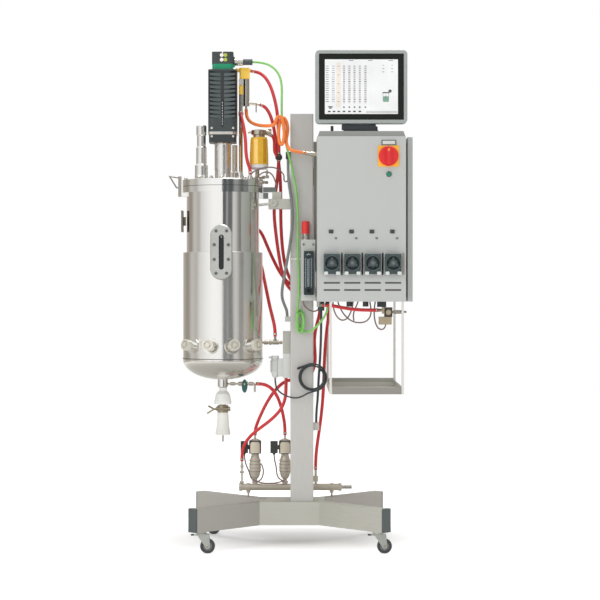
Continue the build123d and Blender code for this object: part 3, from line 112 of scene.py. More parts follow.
class Recipe:
    """A material under construction, with short calls for the nodes it needs."""

    def __init__(self, name: str) -> None:
        """Start an empty principled material.

        Args:
            name: the material's name.
        """
        self.material = bpy.data.materials.new(name)
        self.material.use_nodes = True
        self.nodes = self.material.node_tree.nodes
        self.links = self.material.node_tree.links
        self.nodes.clear()
        self.shader = self.nodes.new("ShaderNodeBsdfPrincipled")
        out = self.nodes.new("ShaderNodeOutputMaterial")
        self.links.new(self.shader.outputs[0], out.inputs[0])
        self.place = self.nodes.new("ShaderNodeTexCoord").outputs["Object"]

    def noise(self, scale: float, stretch: Point = (1, 1, 1), detail: float = 3) -> bpy.types.NodeSocket:
        """Noise in the piece's own space.

        Args:
            scale: how many blobs in a metre.
            stretch: factors along X, Y and Z, for grain that runs one way.
            detail: octaves of finer noise.

        Returns:
            The noise value socket.
        """
        mapping = self.nodes.new("ShaderNodeMapping")
        mapping.inputs["Scale"].default_value = stretch
        self.links.new(self.place, mapping.inputs["Vector"])
        noise = self.nodes.new("ShaderNodeTexNoise")
        noise.inputs["Scale"].default_value = scale
        noise.inputs["Detail"].default_value = detail
        self.links.new(mapping.outputs[0], noise.inputs["Vector"])
        return noise.outputs[0]

    def spread(self, source: bpy.types.NodeSocket, low: float, high: float) -> bpy.types.NodeSocket:
        """Carry noise of about 0.3 to 0.7 to the range low to high.

        Args:
            source: the noise value.
            low: value at the low end.
            high: value at the high end.

        Returns:
            The remapped value socket.
        """
        ramp = self.nodes.new("ShaderNodeMapRange")
        for name, value in (("From Min", NOISE_LOW), ("From Max", NOISE_HIGH), ("To Min", low), ("To Max", high)):
            ramp.inputs[name].default_value = value
        self.links.new(source, ramp.inputs["Value"])
        return ramp.outputs[0]

    def mix(self, factor: bpy.types.NodeSocket, first: object, second: object) -> bpy.types.NodeSocket:
        """Blend two colours or sockets.

        Args:
            factor: blend value, 0 for the first.
            first: colour or socket.
            second: colour or socket.

        Returns:
            The blended colour socket.
        """
        node = self.nodes.new("ShaderNodeMix")
        node.data_type = "RGBA"
        self.links.new(factor, node.inputs[0])
        for socket, value in ((node.inputs[6], first), (node.inputs[7], second)):
            if isinstance(value, bpy.types.NodeSocket):
                self.links.new(value, socket)
            else:
                socket.default_value = (*value, 1.0)
        return node.outputs[2]

    def mix_value(self, factor: bpy.types.NodeSocket, first: object, second: float) -> bpy.types.NodeSocket:
        """Blend a number socket or a number towards another number; Args as for mix, Returns the value socket."""
        node = self.nodes.new("ShaderNodeMix")
        self.links.new(factor, node.inputs[0])
        if isinstance(first, bpy.types.NodeSocket):
            self.links.new(first, node.inputs[2])
        else:
            node.inputs[2].default_value = first
        node.inputs[3].default_value = second
        return node.outputs[0]

    def join(self, operation: str, first: bpy.types.NodeSocket, second: object) -> bpy.types.NodeSocket:
        """Combine two values by a Math operation; Args are its name and the two values, and it Returns the result."""
        node = self.nodes.new("ShaderNodeMath")
        node.operation = operation
        self.links.new(first, node.inputs[0])
        if isinstance(second, bpy.types.NodeSocket):
            self.links.new(second, node.inputs[1])
        else:
            node.inputs[1].default_value = second
        return node.outputs[0]

    def inside(self, zone: "Zone") -> bpy.types.NodeSocket:
        """Mask that is 1 inside a zone: its box, and a round bar that runs along Y where it has a centre.

        Args:
            zone: the zone, in metres.

        Returns:
            The mask socket.
        """
        split = self.nodes.new("ShaderNodeSeparateXYZ")
        self.links.new(self.place, split.inputs[0])
        mask = None
        for axis in range(3):
            if zone.high[axis] - zone.low[axis] > OPEN_SPAN:
                continue
            test = self.nodes.new("ShaderNodeMath")
            test.operation = "COMPARE"
            self.links.new(split.outputs[axis], test.inputs[0])
            test.inputs[1].default_value = (zone.low[axis] + zone.high[axis]) / 2
            test.inputs[2].default_value = (zone.high[axis] - zone.low[axis]) / 2
            mask = self.join("MULTIPLY", mask, test.outputs[0]) if mask is not None else test.outputs[0]
        if zone.centre is not None:
            flat = self.nodes.new("ShaderNodeVectorMath")
            flat.operation = "MULTIPLY"
            self.links.new(self.place, flat.inputs[0])
            flat.inputs[1].default_value = (1.0, 0.0, 1.0)
            reach = self.nodes.new("ShaderNodeVectorMath")
            reach.operation = "DISTANCE"
            self.links.new(flat.outputs[0], reach.inputs[0])
            reach.inputs[1].default_value = (zone.centre[0], 0.0, zone.centre[2])
            near = self.join("LESS_THAN", reach.outputs["Value"], zone.radius)
            mask = self.join("MULTIPLY", mask, near) if mask is not None else near
        return mask

    def bump(self, height: bpy.types.NodeSocket, strength: float, distance: float) -> None:
        """Raise the surface by a height value.

        Args:
            height: the height socket.
            strength: strength from 0 to 1.
            distance: depth in metres.
        """
        node = self.nodes.new("ShaderNodeBump")
        node.inputs["Strength"].default_value = strength
        node.inputs["Distance"].default_value = distance
        self.links.new(height, node.inputs["Height"])
        self.links.new(node.outputs[0], self.shader.inputs["Normal"])

    def put(self, name: str, value: object) -> None:
        """Set a shader socket to a constant or link it.

        Args:
            name: the socket's name.
            value: a number, a colour or a socket.
        """
        socket = self.shader.inputs[name]
        if isinstance(value, bpy.types.NodeSocket):
            self.links.new(value, socket)
        elif isinstance(value, tuple):
            socket.default_value = (*value, 1.0)
        else:
            socket.default_value = value


@dataclass(frozen=True)
class Zone:
    """A box or a round bar of space in which a finish changes, as where a band or cap is another material."""

    low: Point
    high: Point
    colour: Colour
    metallic: float = 0.0
    roughness: float = 0.45
    centre: Point | None = None
    radius: float = 0.0


@dataclass(frozen=True)
class Finish:
    """One real finish: its colour, gloss and texture, and the zones where it changes."""

    name: str
    surface: Surface
    colour: Colour
    roughness: float = 0.4
    stretch: Point = (1, 1, 1)
    clearness: float = 0.0
    zones: tuple[Zone, ...] = ()
    glow: float = 0.0
    slot: str = ""

    def toned(self, factor: float) -> Colour:
        """The finish's colour times a factor, held at 1; Args: the factor, Returns the colour."""
        return tuple(min(1.0, value * factor) for value in self.colour)

    @lru_cache(maxsize=None)
    def material(self) -> bpy.types.Material:
        """Build the node material once and return it."""
        recipe = Recipe(self.name)
        shade, light = self.toned(SHADE), self.toned(LIGHT)
        metallic = {Surface.BRUSHED: 1.0, Surface.POLISHED: 1.0, Surface.SATIN: 0.35}.get(self.surface, 0.0)
        if self.surface is Surface.BRUSHED:
            grain = recipe.noise(420, self.stretch, 4)
            cloud = recipe.noise(9, (1, 1, 1), 3)
            colour = recipe.mix(recipe.spread(cloud, 0.2, 0.8), shade, light)
            rough = recipe.spread(grain, self.roughness - 0.08, self.roughness + 0.1)
            recipe.bump(grain, 0.18, 0.0002)
        elif self.surface is Surface.POLISHED:
            wipe = recipe.noise(26, self.stretch, 4)
            cloud = recipe.noise(5, (1, 1, 1), 2)
            colour = recipe.mix(recipe.spread(cloud, 0.3, 0.7), self.toned(0.95), self.colour)
            rough = recipe.spread(wipe, self.roughness * 0.75, self.roughness * 1.3)
            recipe.bump(recipe.noise(7, (1, 1, 0.5), 2), 0.06, 0.002)
        elif self.surface is Surface.SATIN:
            grain = recipe.noise(300, self.stretch, 4)
            cloud = recipe.noise(7, (1, 1, 1), 3)
            colour = recipe.mix(recipe.spread(cloud, 0.2, 0.8), self.toned(0.93), self.colour)
            colour = recipe.mix(recipe.spread(grain, 0.0, 0.5), colour, shade)
            rough = recipe.spread(grain, self.roughness - 0.06, self.roughness + 0.08)
            recipe.bump(grain, 0.14, 0.0002)
        elif self.surface is Surface.PAINTED:
            cloud = recipe.noise(4, (1, 1, 1), 3)
            peel = recipe.noise(520, (1, 1, 1), 2)
            colour = recipe.mix(recipe.spread(cloud, 0.25, 0.75), self.toned(0.965), self.colour)
            rough = recipe.spread(recipe.noise(60), self.roughness - 0.04, self.roughness + 0.05)
            recipe.bump(peel, 0.1, 0.0003)
        elif self.surface is Surface.MOULDED:
            grain = recipe.noise(900, (1, 1, 1), 2)
            colour = recipe.mix(recipe.spread(recipe.noise(14), 0.2, 0.8), shade, light)
            rough = recipe.spread(grain, self.roughness - 0.05, self.roughness + 0.06)
            recipe.bump(grain, 0.12, 0.0003)
        elif self.surface is Surface.RUBBER:
            dust = recipe.noise(38, (1, 1, 1), 4)
            colour = recipe.mix(recipe.spread(dust, 0.1, 0.9), shade, light)
            rough = recipe.spread(recipe.noise(150), self.roughness - 0.06, self.roughness + 0.1)
            recipe.bump(recipe.noise(700), 0.1, 0.0002)
        else:
            haze = recipe.noise(30)
            colour = recipe.mix(recipe.spread(haze, 0.2, 0.8), shade, light)
            rough = recipe.spread(haze, self.roughness * 0.7, self.roughness * 1.3)
            recipe.put("Transmission Weight", self.clearness)
            recipe.put("IOR", GLASS_INDEX)
        metal: object = metallic
        for zone in self.zones:
            mask = recipe.inside(zone)
            colour = recipe.mix(mask, colour, zone.colour)
            rough = recipe.mix_value(mask, rough, zone.roughness)
            if zone.metallic != metallic or isinstance(metal, bpy.types.NodeSocket):
                metal = recipe.mix_value(mask, metal, zone.metallic)
        recipe.put("Base Color", colour)
        recipe.put("Roughness", rough)
        recipe.put("Metallic", metal)
        if self.surface is Surface.RUBBER:
            recipe.put("Sheen Weight", RUBBER_SHEEN)
        if self.glow:
            recipe.put("Emission Color", self.colour)
            recipe.put("Emission Strength", self.glow)
        return recipe.material


FRAME_TONE = srgb(206, 204, 200)
PANEL_TONE = srgb(180, 183, 180)
LEG_TONE = srgb(200, 199, 189)
STEEL_TONE = srgb(212, 209, 202)
BLACK_TONE = srgb(46, 52, 53)
FRAME_STEEL = Finish("satin_frame_steel", Surface.SATIN, LEG_TONE, 0.42, (0.06, 0.06, 1), slot="frame_steel")
EAR_ZONES_AND_PAINTED_REFLECTION = (
    Zone((-0.45, -9, 1.19), (-0.376, 9, 1.32), srgb(168, 163, 155), 1.0, 0.3),
    Zone((-0.39, -9, 1.08), (-0.3603, 9, 1.166), srgb(132, 126, 114), 1.0, 0.4),
    Zone((-0.0915, -9, 1.2), (-0.04, 9, 1.262), srgb(136, 140, 136), 1.0, 0.3),
    # Painted reflection: the flange's front right half is coloured a darker steel to stand in for the dark band it
    # mirrors.
    Zone((-0.2305, -0.3, 1.2226), (-0.141, -0.04, 1.2625), srgb(178, 183, 181), 1.0, 0.16))
MIRROR = Finish("polished_vessel_steel", Surface.POLISHED, srgb(246, 245, 242), 0.1, (1, 1, 0.12), zones=EAR_ZONES_AND_PAINTED_REFLECTION,
                slot="polished")
JACKET = Finish("brushed_jacket_steel", Surface.POLISHED, srgb(246, 245, 241), 0.17, (1, 1, 0.12), slot="polished")
SATIN = Finish("satin_steel", Surface.BRUSHED, STEEL_TONE, 0.3, (1, 1, 0.08), slot="stainless")
FITTING = Finish("machined_fitting", Surface.POLISHED, srgb(216, 210, 198), 0.22, slot="stainless")
BLACK = Finish("black_plastic", Surface.MOULDED, BLACK_TONE, 0.42, slot="dark_plastic")
GLOSS_BLACK = Finish("gloss_black_plastic", Surface.MOULDED, srgb(26, 30, 30), 0.16, slot="dark_plastic")
CAP = Finish("end_cap_plastic", Surface.MOULDED, srgb(84, 91, 92), 0.5, slot="grey_plastic")
WHITE = Finish("white_plastic", Surface.MOULDED, srgb(236, 234, 228), 0.36, slot="white_plastic")
MARK_GREY = Finish("printed_grey", Surface.MOULDED, srgb(118, 124, 128), 0.5, slot="grey_plastic")
MARK_PALE = Finish("printed_pale", Surface.MOULDED, srgb(222, 226, 224), 0.45, slot="white_plastic")
RED_PLASTIC = Finish("red_plastic", Surface.MOULDED, srgb(226, 38, 42), 0.34, slot="red_plastic")
AMBER_MARK = Finish("orange_mark", Surface.MOULDED, srgb(250, 150, 50), 0.4, slot="yellow_plastic")
GREEN_LENS = Finish("green_lens", Surface.MOULDED, srgb(24, 134, 110), 0.15, slot="green_plastic")
RED_HOSE = Finish("red_hose", Surface.RUBBER, srgb(214, 46, 52), 0.34, slot="red_rubber")
ORANGE_HOSE = Finish("orange_hose", Surface.RUBBER, srgb(248, 132, 50), 0.36, slot="orange_rubber")
GREEN_CABLE = Finish("green_cable", Surface.RUBBER, srgb(134, 204, 104), 0.36, slot="green_rubber")
GREY_HOSE = Finish("grey_conduit", Surface.RUBBER, srgb(128, 130, 128), 0.42, slot="grey_rubber")
BLACK_CABLE = Finish("black_cable", Surface.RUBBER, srgb(56, 62, 64), 0.42, slot="grey_rubber")
THIN_LEAD = Finish("thin_lead", Surface.RUBBER, srgb(132, 108, 104), 0.45, slot="grey_rubber")


# ------------------------------------------------------------------ meshes


def strip_faces(rows: int, columns: int) -> list:
    """Quads of a grid whose columns close on themselves.

    Args:
        rows: number of rings.
        columns: points in each ring.

    Returns:
        Corner numbers of every quad.
    """
    row, column = np.meshgrid(np.arange(rows - 1), np.arange(columns), indexing="ij")
    following = (column + 1) % columns
    here, above = row * columns, (row + 1) * columns
    corners = (here + column, here + following, above + following, above + column)
    return np.stack(corners, -1).reshape(-1, 4).tolist()


def axes_of(facing: Facing) -> tuple[np.ndarray, np.ndarray, np.ndarray]:
    """Two cross directions and the pointing direction, right-handed.

    Args:
        facing: where the piece points.

    Returns:
        Side, upright and pointing directions.
    """
    along = np.array(facing.value)
    side = np.array((1.0, 0.0, 0.0))
    return side, np.cross(along, side), along


def carried(start: Point, axes: tuple, profile: list, sides: int) -> Grid:
    """Rings of a turned solid: a ring is the cosine times the side axis plus the sine times the upright one.

    Each pair of the profile scales the ring by its radius and moves it by its distance along the third axis.

    Args:
        start: point that distances start from, in metres.
        axes: side, upright and pointing directions.
        profile: pairs of radius and distance in millimetres.
        sides: points in each ring.

    Returns:
        Vertices and faces.
    """
    side, upright, along = axes
    radius, distance = np.array(profile, float).T / 1000
    angle = np.linspace(0, 2 * np.pi, sides, endpoint=False)
    ring = np.outer(np.cos(angle), side) + np.outer(np.sin(angle), upright)
    points = np.array(start) + radius[:, None, None] * ring[None] + distance[:, None, None] * along
    return points.reshape(-1, 3), strip_faces(len(profile), sides)


def turned(centre: Point, profile: list, facing: Facing = Facing.UP, sides: int = 40) -> Grid:
    """Turned solid: every (radius, distance) of the profile is carried round the pointing axis.

    Args:
        centre: point that distances start from, in metres.
        profile: pairs of radius and distance in millimetres.
        facing: direction of the axis.
        sides: points in each ring.

    Returns:
        Vertices and faces.
    """
    return carried(centre, axes_of(facing), profile, sides)


def slab(centre: Point, width: float, height: float, corner: float, profile: list, facing: Facing = Facing.FRONT,
         sides: int = 8) -> Grid:
    """Rounded plate: a rounded rectangle, drawn in by an inset, is carried along (inset, distance) pairs.

    The outline is each corner's centre plus the corner radius less the inset, turned through a quarter
    circle at each corner; where the inset passes the corner radius, the whole outline shrinks instead.

    Args:
        centre: middle of the plate at distance 0, in metres.
        width: size across in millimetres.
        height: size up in millimetres.
        corner: corner radius in millimetres.
        profile: pairs of inset and distance in millimetres.
        facing: direction of growing distance.
        sides: points on each corner.

    Returns:
        Vertices and faces.
    """
    side, upright, along = axes_of(facing)
    quarter = np.linspace(0, np.pi / 2, sides)
    angle = np.concatenate([quarter + step * np.pi / 2 for step in range(4)])
    sign_x = np.repeat([1, -1, -1, 1], sides)
    sign_y = np.repeat([1, 1, -1, -1], sides)
    inset, distance = np.array(profile, float).T
    radius = np.maximum(corner - inset, 0)
    shrink_x = (width / 2 - np.maximum(inset, corner)).clip(0)
    shrink_y = (height / 2 - np.maximum(inset, corner)).clip(0)
    across = shrink_x[:, None] * sign_x + radius[:, None] * np.cos(angle)
    up = shrink_y[:, None] * sign_y + radius[:, None] * np.sin(angle)
    points = (np.array(centre) + across[..., None] * side / 1000 + up[..., None] * upright / 1000
              + distance[:, None, None] * along / 1000)
    return points.reshape(-1, 3), strip_faces(len(profile), len(angle))


def plate_profile(thickness: float, edge: float, half: float, start: float = 0.0) -> list:
    """Inset and distance pairs of a closed plate with a rounded front edge.

    Args:
        thickness: plate thickness in millimetres.
        edge: radius of the front edge.
        half: inset that closes the faces, half of the smaller side.
        start: distance of the back.

    Returns:
        Profile for slab.
    """
    bend = np.linspace(0, np.pi / 2, 5)
    rounded = [(float(edge * (1 - np.cos(a))), float(start + thickness - edge + edge * np.sin(a))) for a in bend]
    return [(half, start), (0, start)] + rounded + [(half, start + thickness)]


def piece(name: str, grids: list, finish: Finish, body: str = STAND) -> bpy.types.Object:
    """Make one object from grids, with poles merged and faces outwards.

    Args:
        name: object name.
        grids: vertices and faces of each shell.
        finish: its finish.
        body: body that it rides on.

    Returns:
        The object.
    """
    starts = np.cumsum([0] + [len(points) for points, _ in grids[:-1]])
    points = np.concatenate([points for points, _ in grids])
    faces = [[corner + int(start) for corner in face] for start, (_, quads) in zip(starts, grids) for face in quads]
    mesh = bpy.data.meshes.new(name)
    mesh.from_pydata(points.tolist(), [], faces)
    tidy_mesh(mesh)
    mesh.materials.append(finish.material())
    made = bpy.data.objects.new(name, mesh)
    bpy.context.scene.collection.objects.link(made)
    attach(made, body)
    LOG.info("piece %s: %d faces on %s", name, len(mesh.polygons), body)
    return made


def tidy_mesh(mesh: bpy.types.Mesh) -> None:
    """Merge doubles, turn faces outwards and shade smooth below the sharp angle; Args: the mesh."""
    work = bmesh.new()
    work.from_mesh(mesh)
    bmesh.ops.remove_doubles(work, verts=work.verts, dist=2e-6)
    bmesh.ops.recalc_face_normals(work, faces=work.faces)
    work.to_mesh(mesh)
    work.free()
    mesh.polygons.foreach_set("use_smooth", np.ones(len(mesh.polygons), bool))
    mesh.set_sharp_from_angle(angle=float(np.radians(SHARP_ANGLE)))
    mesh.update()


def rope(name: str, points: np.ndarray, diameter: float, finish: Finish) -> bpy.types.Object:
    """Smooth round line as a NURBS spline with the given control points.

    Args:
        name: object name.
        points: control points in metres.
        diameter: in metres.
        finish: its finish.

    Returns:
        The curve object, riding on the stand.
    """
    curve = bpy.data.curves.new(name, "CURVE")
    curve.dimensions = "3D"
    curve.bevel_depth = diameter / 2
    curve.bevel_resolution = LINE_SIDES
    curve.resolution_u = 8
    curve.use_fill_caps = True
    spline = curve.splines.new("NURBS")
    spline.points.add(len(points) - 1)
    spline.points.foreach_set("co", np.column_stack([points, np.ones(len(points))]).ravel())
    spline.order_u = 3
    spline.use_endpoint_u = True
    curve.materials.append(finish.material())
    made = bpy.data.objects.new(name, curve)
    bpy.context.scene.collection.objects.link(made)
    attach(made, STAND)
    return made


# ------------------------------------------------------------- camera, cords


# Azimuth in degrees, grey level and warmth of the ring that polished metal mirrors.
SURROUND = (
    (-180, 215, 2), (-163, 200, 5), (-145, 168, 8), (-127, 146, 6), (-117, 138, 8), (-110, 152, 6), (-101, 188, 3),
    (-94, 190, 3), (-84, 178, 4), (-78, 176, 3), (-70, 212, 1), (-54, 232, 1), (-42, 243, 0), (-32, 250, 0),
    (-12, 252, 0), (-1.6, 250, 0), (-0.8, 84, -2), (6, 96, -2), (8.5, 108, -1), (11, 160, -1), (13.5, 156, -1),
    (16, 104, -1), (27, 98, -1), (29.5, 150, 0), (32, 204, 1), (42, 190, 2), (47, 156, 3), (52, 128, 2),
    (58, 118, 2), (62, 166, 3), (66, 178, 4), (74, 158, 7), (84, 150, 9), (92, 132, 7), (100, 130, 8),
    (106, 158, 8), (114, 204, 4), (122, 208, 3), (132, 156, 7), (146, 144, 7), (158, 186, 5), (180, 215, 2))


@dataclass
class Studio:
    """Floor, soft lights, reflector cards and the camera."""

    distance: float = 6.5
    eye_height: float = 0.882
    lens: float = 111.43
    sensor: float = 36.0
    shift: tuple[float, float] = (0.0175, -0.0147)
    sight: float = 60.0
    aim: Point = (0.0, 0.0, 0.9)
    world_light: float = 0.62
    light_watts: float = 46.0
    fill_watts: float = 20.0
    top_watts: float = 46.0
    floor_half: float = 9.0
    # shade_middle, shade_width and shade_reach place and size the shadow patch painted by the floor's dimmer glow under
    # the object.
    shade_middle: float = 0.18
    shade_width: float = 0.6
    shade_reach: tuple[float, float] = (0.02, 0.52)
    floor_glow: float = 0.56
    ring_radius: float = 4.6
    ring_edges: tuple[float, float] = (-0.6, 3.4)
    ring_steps: int = 720
    card_height: float = 0.002
    card_sides: int = 64

    def build(self) -> None:
        """Set the view, the world, the lamps and the floor."""
        scene = bpy.context.scene
        scene.view_settings.view_transform = "Standard"
        camera = bpy.data.objects.new("camera", bpy.data.cameras.new("camera"))
        camera.location = (0, -self.distance, self.eye_height)
        camera.rotation_euler = (np.pi / 2, 0, 0)
        camera.data.lens = self.lens
        camera.data.sensor_width = self.sensor
        camera.data.shift_x, camera.data.shift_y = self.shift
        camera.data.clip_end = self.sight
        scene.collection.objects.link(camera)
        scene.camera = camera
        self.light_world()
        self.lamp("key", (-2.6, -3.8, 3.4), 2.6, self.light_watts)
        self.lamp("fill", (2.4, -4.6, 2.0), 2.4, self.fill_watts)
        self.lamp("top", (0.4, 0.2, 4.2), 1.6, self.top_watts)
        self.lay_floor()
        self.surround()
        self.ground_card()

    def light_world(self) -> None:
        """Plain soft surroundings: white where seen directly or mirrored, dimmer as light."""
        world = bpy.data.worlds.new("studio")
        world.use_nodes = True
        nodes, links = world.node_tree.nodes, world.node_tree.links
        nodes.clear()
        path = nodes.new("ShaderNodeLightPath")
        seen = nodes.new("ShaderNodeMath")
        seen.operation = "MAXIMUM"
        through = nodes.new("ShaderNodeMath")
        through.operation = "MAXIMUM"
        links.new(path.outputs["Is Camera Ray"], seen.inputs[0])
        links.new(path.outputs["Is Glossy Ray"], seen.inputs[1])
        links.new(seen.outputs[0], through.inputs[0])
        links.new(path.outputs["Is Transmission Ray"], through.inputs[1])
        strength = nodes.new("ShaderNodeMapRange")
        links.new(through.outputs[0], strength.inputs["Value"])
        strength.inputs["To Min"].default_value = self.world_light
        strength.inputs["To Max"].default_value = 1.0
        shade = nodes.new("ShaderNodeBackground")
        out = nodes.new("ShaderNodeOutputWorld")
        links.new(strength.outputs[0], shade.inputs["Strength"])
        links.new(shade.outputs[0], out.inputs[0])
        shade.inputs["Color"].default_value = (1, 1, 1, 1)
        bpy.context.scene.world = world

    def lamp(self, name: str, place: Point, size: float, watts: float) -> None:
        """Square area lamp aimed at the middle of the object.

        Args:
            name: lamp name.
            place: its position in metres.
            size: side in metres.
            watts: its power.
        """
        data = bpy.data.lights.new(name, "AREA")
        data.size = size
        data.energy = watts
        lamp = bpy.data.objects.new(name, data)
        lamp.location = place
        lamp.rotation_euler = (Vector(self.aim) - Vector(place)).to_track_quat("-Z", "Y").to_euler()
        bpy.context.scene.collection.objects.link(lamp)

    def lay_floor(self) -> None:
        """Pale floor that reads as the white backdrop and keeps the object's shadow.

        Its glow grows smoothly with the distance from a point under the object, with X counted at a share, so the low
        glow near that point paints a shadow patch on the floor beyond the lamps' own shadow.
        """
        side = self.floor_half
        mesh = bpy.data.meshes.new("floor")
        mesh.from_pydata([(-side, -side, 0), (side, -side, 0), (side, side, 0), (-side, side, 0)], [], [(0, 1, 2, 3)])
        recipe = Recipe("floor_white")
        shifted = recipe.nodes.new("ShaderNodeVectorMath")
        shifted.operation = "MULTIPLY_ADD"
        recipe.links.new(recipe.place, shifted.inputs[0])
        shifted.inputs[1].default_value = (self.shade_width, 1.0, 1.0)
        shifted.inputs[2].default_value = (0.0, -self.shade_middle, 0.0)
        reach = recipe.nodes.new("ShaderNodeVectorMath")
        reach.operation = "LENGTH"
        recipe.links.new(shifted.outputs[0], reach.inputs[0])
        fade = recipe.nodes.new("ShaderNodeMapRange")
        fade.interpolation_type = "SMOOTHSTEP"
        recipe.links.new(reach.outputs["Value"], fade.inputs["Value"])
        near, far = self.shade_reach
        for key, value in (("From Min", near), ("From Max", far), ("To Min", 0.0), ("To Max", self.floor_glow)):
            fade.inputs[key].default_value = value
        recipe.put("Base Color", (0.9, 0.9, 0.9))
        recipe.put("Roughness", 0.9)
        recipe.put("Emission Color", (1.0, 1.0, 1.0))
        recipe.put("Emission Strength", fade.outputs[0])
        mesh.materials.append(recipe.material)
        floor = bpy.data.objects.new("floor", mesh)
        bpy.context.scene.collection.objects.link(floor)

    def surround(self) -> None:
        """Ring round the object, seen only in mirrored light, whose tones give polished metal its bands.

        Its points are a radius times the sine and minus the cosine of an azimuth, at a low and a high edge. Each
        point's grey level and warmth are read from SURROUND; warmth adds to red and takes 1.3 times as much from blue.
        """
        count = self.ring_steps + 1
        azimuth = np.radians(np.linspace(-180, 180, count))
        stops = np.array(SURROUND)
        tone = np.interp(np.degrees(azimuth), stops[:, 0], stops[:, 1])
        warm = np.interp(np.degrees(azimuth), stops[:, 0], stops[:, 2])
        colour = np.stack([tone + warm, tone, tone - 1.3 * warm], -1)
        linear = np.clip(colour / 255, 0, 1) ** 2.2
        ring = np.column_stack([self.ring_radius * np.sin(azimuth), -self.ring_radius * np.cos(azimuth)])
        low, high = (np.column_stack([ring, np.full(count, edge)]) for edge in self.ring_edges)
        step = np.arange(self.ring_steps)
        faces = np.column_stack([step, step + 1, step + 1 + count, step + count])
        self.mirror_card("surround", np.concatenate([low, high]), faces, np.concatenate([linear, linear]))

    def ground_card(self) -> None:
        """Disc on the floor, seen only in mirrored light, which darkens what faces down.

        Its points are radii times the cosine and sine of even angles; the tone grows paler outwards.
        """
        sides = self.card_sides
        angle = np.linspace(0, 2 * np.pi, sides, endpoint=False)
        radii = np.array((0.01, 0.5, 1.0, 1.7, 2.8, 4.5))
        tone = np.array((160, 168, 176, 194, 222, 244))
        ring = np.stack([np.cos(angle), np.sin(angle)], -1)
        height = np.full((len(radii), sides, 1), self.card_height)
        points = np.concatenate([radii[:, None, None] * ring, height], -1).reshape(-1, 3)
        grid = np.arange(len(radii) * sides).reshape(len(radii), sides)
        following = np.roll(grid, -1, axis=1)
        faces = np.stack([grid[:-1], grid[1:], following[1:], following[:-1]], -1).reshape(-1, 4)
        shades = np.repeat(tone, sides)[:, None] + np.array((3.0, 0.0, -6.0))
        self.mirror_card("ground_card", points, faces, (np.clip(shades, 0, 255) / 255) ** 2.2)

    @staticmethod
    def mirror_card(name: str, points: np.ndarray, faces: np.ndarray, tones: np.ndarray) -> None:
        """Stage piece that glows in its points' own tones and shows only in mirrored light.

        Args:
            name: its name.
            points: corners in metres.
            faces: corner numbers of each face.
            tones: linear colour of each point.
        """
        mesh = bpy.data.meshes.new(name)
        mesh.from_pydata(points.tolist(), [], faces.tolist())
        layer = mesh.color_attributes.new("tone", "FLOAT_COLOR", "POINT")
        layer.data.foreach_set("color", np.column_stack([tones, np.ones(len(tones))]).ravel())
        recipe = Recipe(name)
        source = recipe.nodes.new("ShaderNodeVertexColor")
        source.layer_name = "tone"
        recipe.put("Base Color", (0.0, 0.0, 0.0))
        recipe.put("Roughness", 1.0)
        recipe.put("Emission Color", source.outputs[0])
        recipe.put("Emission Strength", 1.0)
        mesh.materials.append(recipe.material)
        card = bpy.data.objects.new(name, mesh)
        bpy.context.scene.collection.objects.link(card)
        card.visible_camera = False
        card.visible_diffuse = False
        card.visible_shadow = False
        card.visible_transmission = False


@dataclass(frozen=True)
class Hose:
    """One free hose or cable: its route, size and ends."""

    name: str
    route: tuple[Point, ...]
    radius: float
    length: float
    finish: Finish
    replaced: tuple[str, ...] = ()
    far_end: str = "object"
    clips: tuple[int, ...] = ()
    stiffness: str = "medium"
    lay: str = "loose"


def mm(*values: float) -> Point:
    """Millimetres to a point in metres."""
    return tuple(value / 1000 for value in values)


def spun(start: Point, direction: Point, profile: list, sides: int = 20) -> Grid:
    """Turned solid about any direction: (radius, distance) pairs in millimetres carried round a line.

    Args:
        start: point that distances start from, in metres.
        direction: way of the line.
        profile: pairs of radius and distance.
        sides: points in each ring.

    Returns:
        Vertices and faces.
    """
    along = np.array(direction, float)
    along = along / np.linalg.norm(along)
    helper = np.array((0.0, 0.0, 1.0)) if abs(along[2]) < 0.8 else np.array((1.0, 0.0, 0.0))
    side = np.cross(along, helper)
    side = side / np.linalg.norm(side)
    return carried(start, (side, np.cross(along, side), along), profile, sides)


def band(inner: float, outer: float, low: float, high: float, edge: float = 0.3) -> list:
    """Closed ring section with softened outer edges, as radius and distance pairs in millimetres."""
    return [(inner, low), (outer - edge, low), (outer, low + edge), (outer, high - edge), (outer - edge, high),
            (inner, high), (inner, low)]


def loops(centre: Point, width: float, height: float, first: float, turns: float, start_y: float, end_y: float,
          per_turn: int = 16, sway: float = 0.0, drift: float = 0.0) -> np.ndarray:
    """Control points of turns wound on an upright oval, each turn a little behind the last.

    A point is the centre plus half the width times the cosine and half the height times the sine of the
    angle, while Y runs evenly from start to end; sway widens and narrows the turns by a slow sine.

    Args:
        centre: middle in millimetres.
        width: width of the line's path.
        height: height of the line's path.
        first: starting angle in degrees, 0 to the right and 90 up.
        turns: turns, negative for clockwise.
        start_y: first depth in millimetres.
        end_y: last depth.
        per_turn: points in a turn.
        sway: share by which turns differ in size.
        drift: millimetres that the middle moves to the right over the turns.

    Returns:
        Points in metres.
    """
    count = max(2, int(abs(turns) * per_turn) + 1)
    angle = np.radians(first) + 2 * np.pi * turns * np.linspace(0, 1, count)
    swell = 1 + sway * np.sin(angle * 0.37 + 0.6)
    x = centre[0] + width / 2 * np.cos(angle) * swell + drift * np.linspace(-0.5, 0.5, count)
    z = centre[2] + height / 2 * np.sin(angle) * swell
    return np.column_stack([x, np.linspace(start_y, end_y, count), z]) / 1000


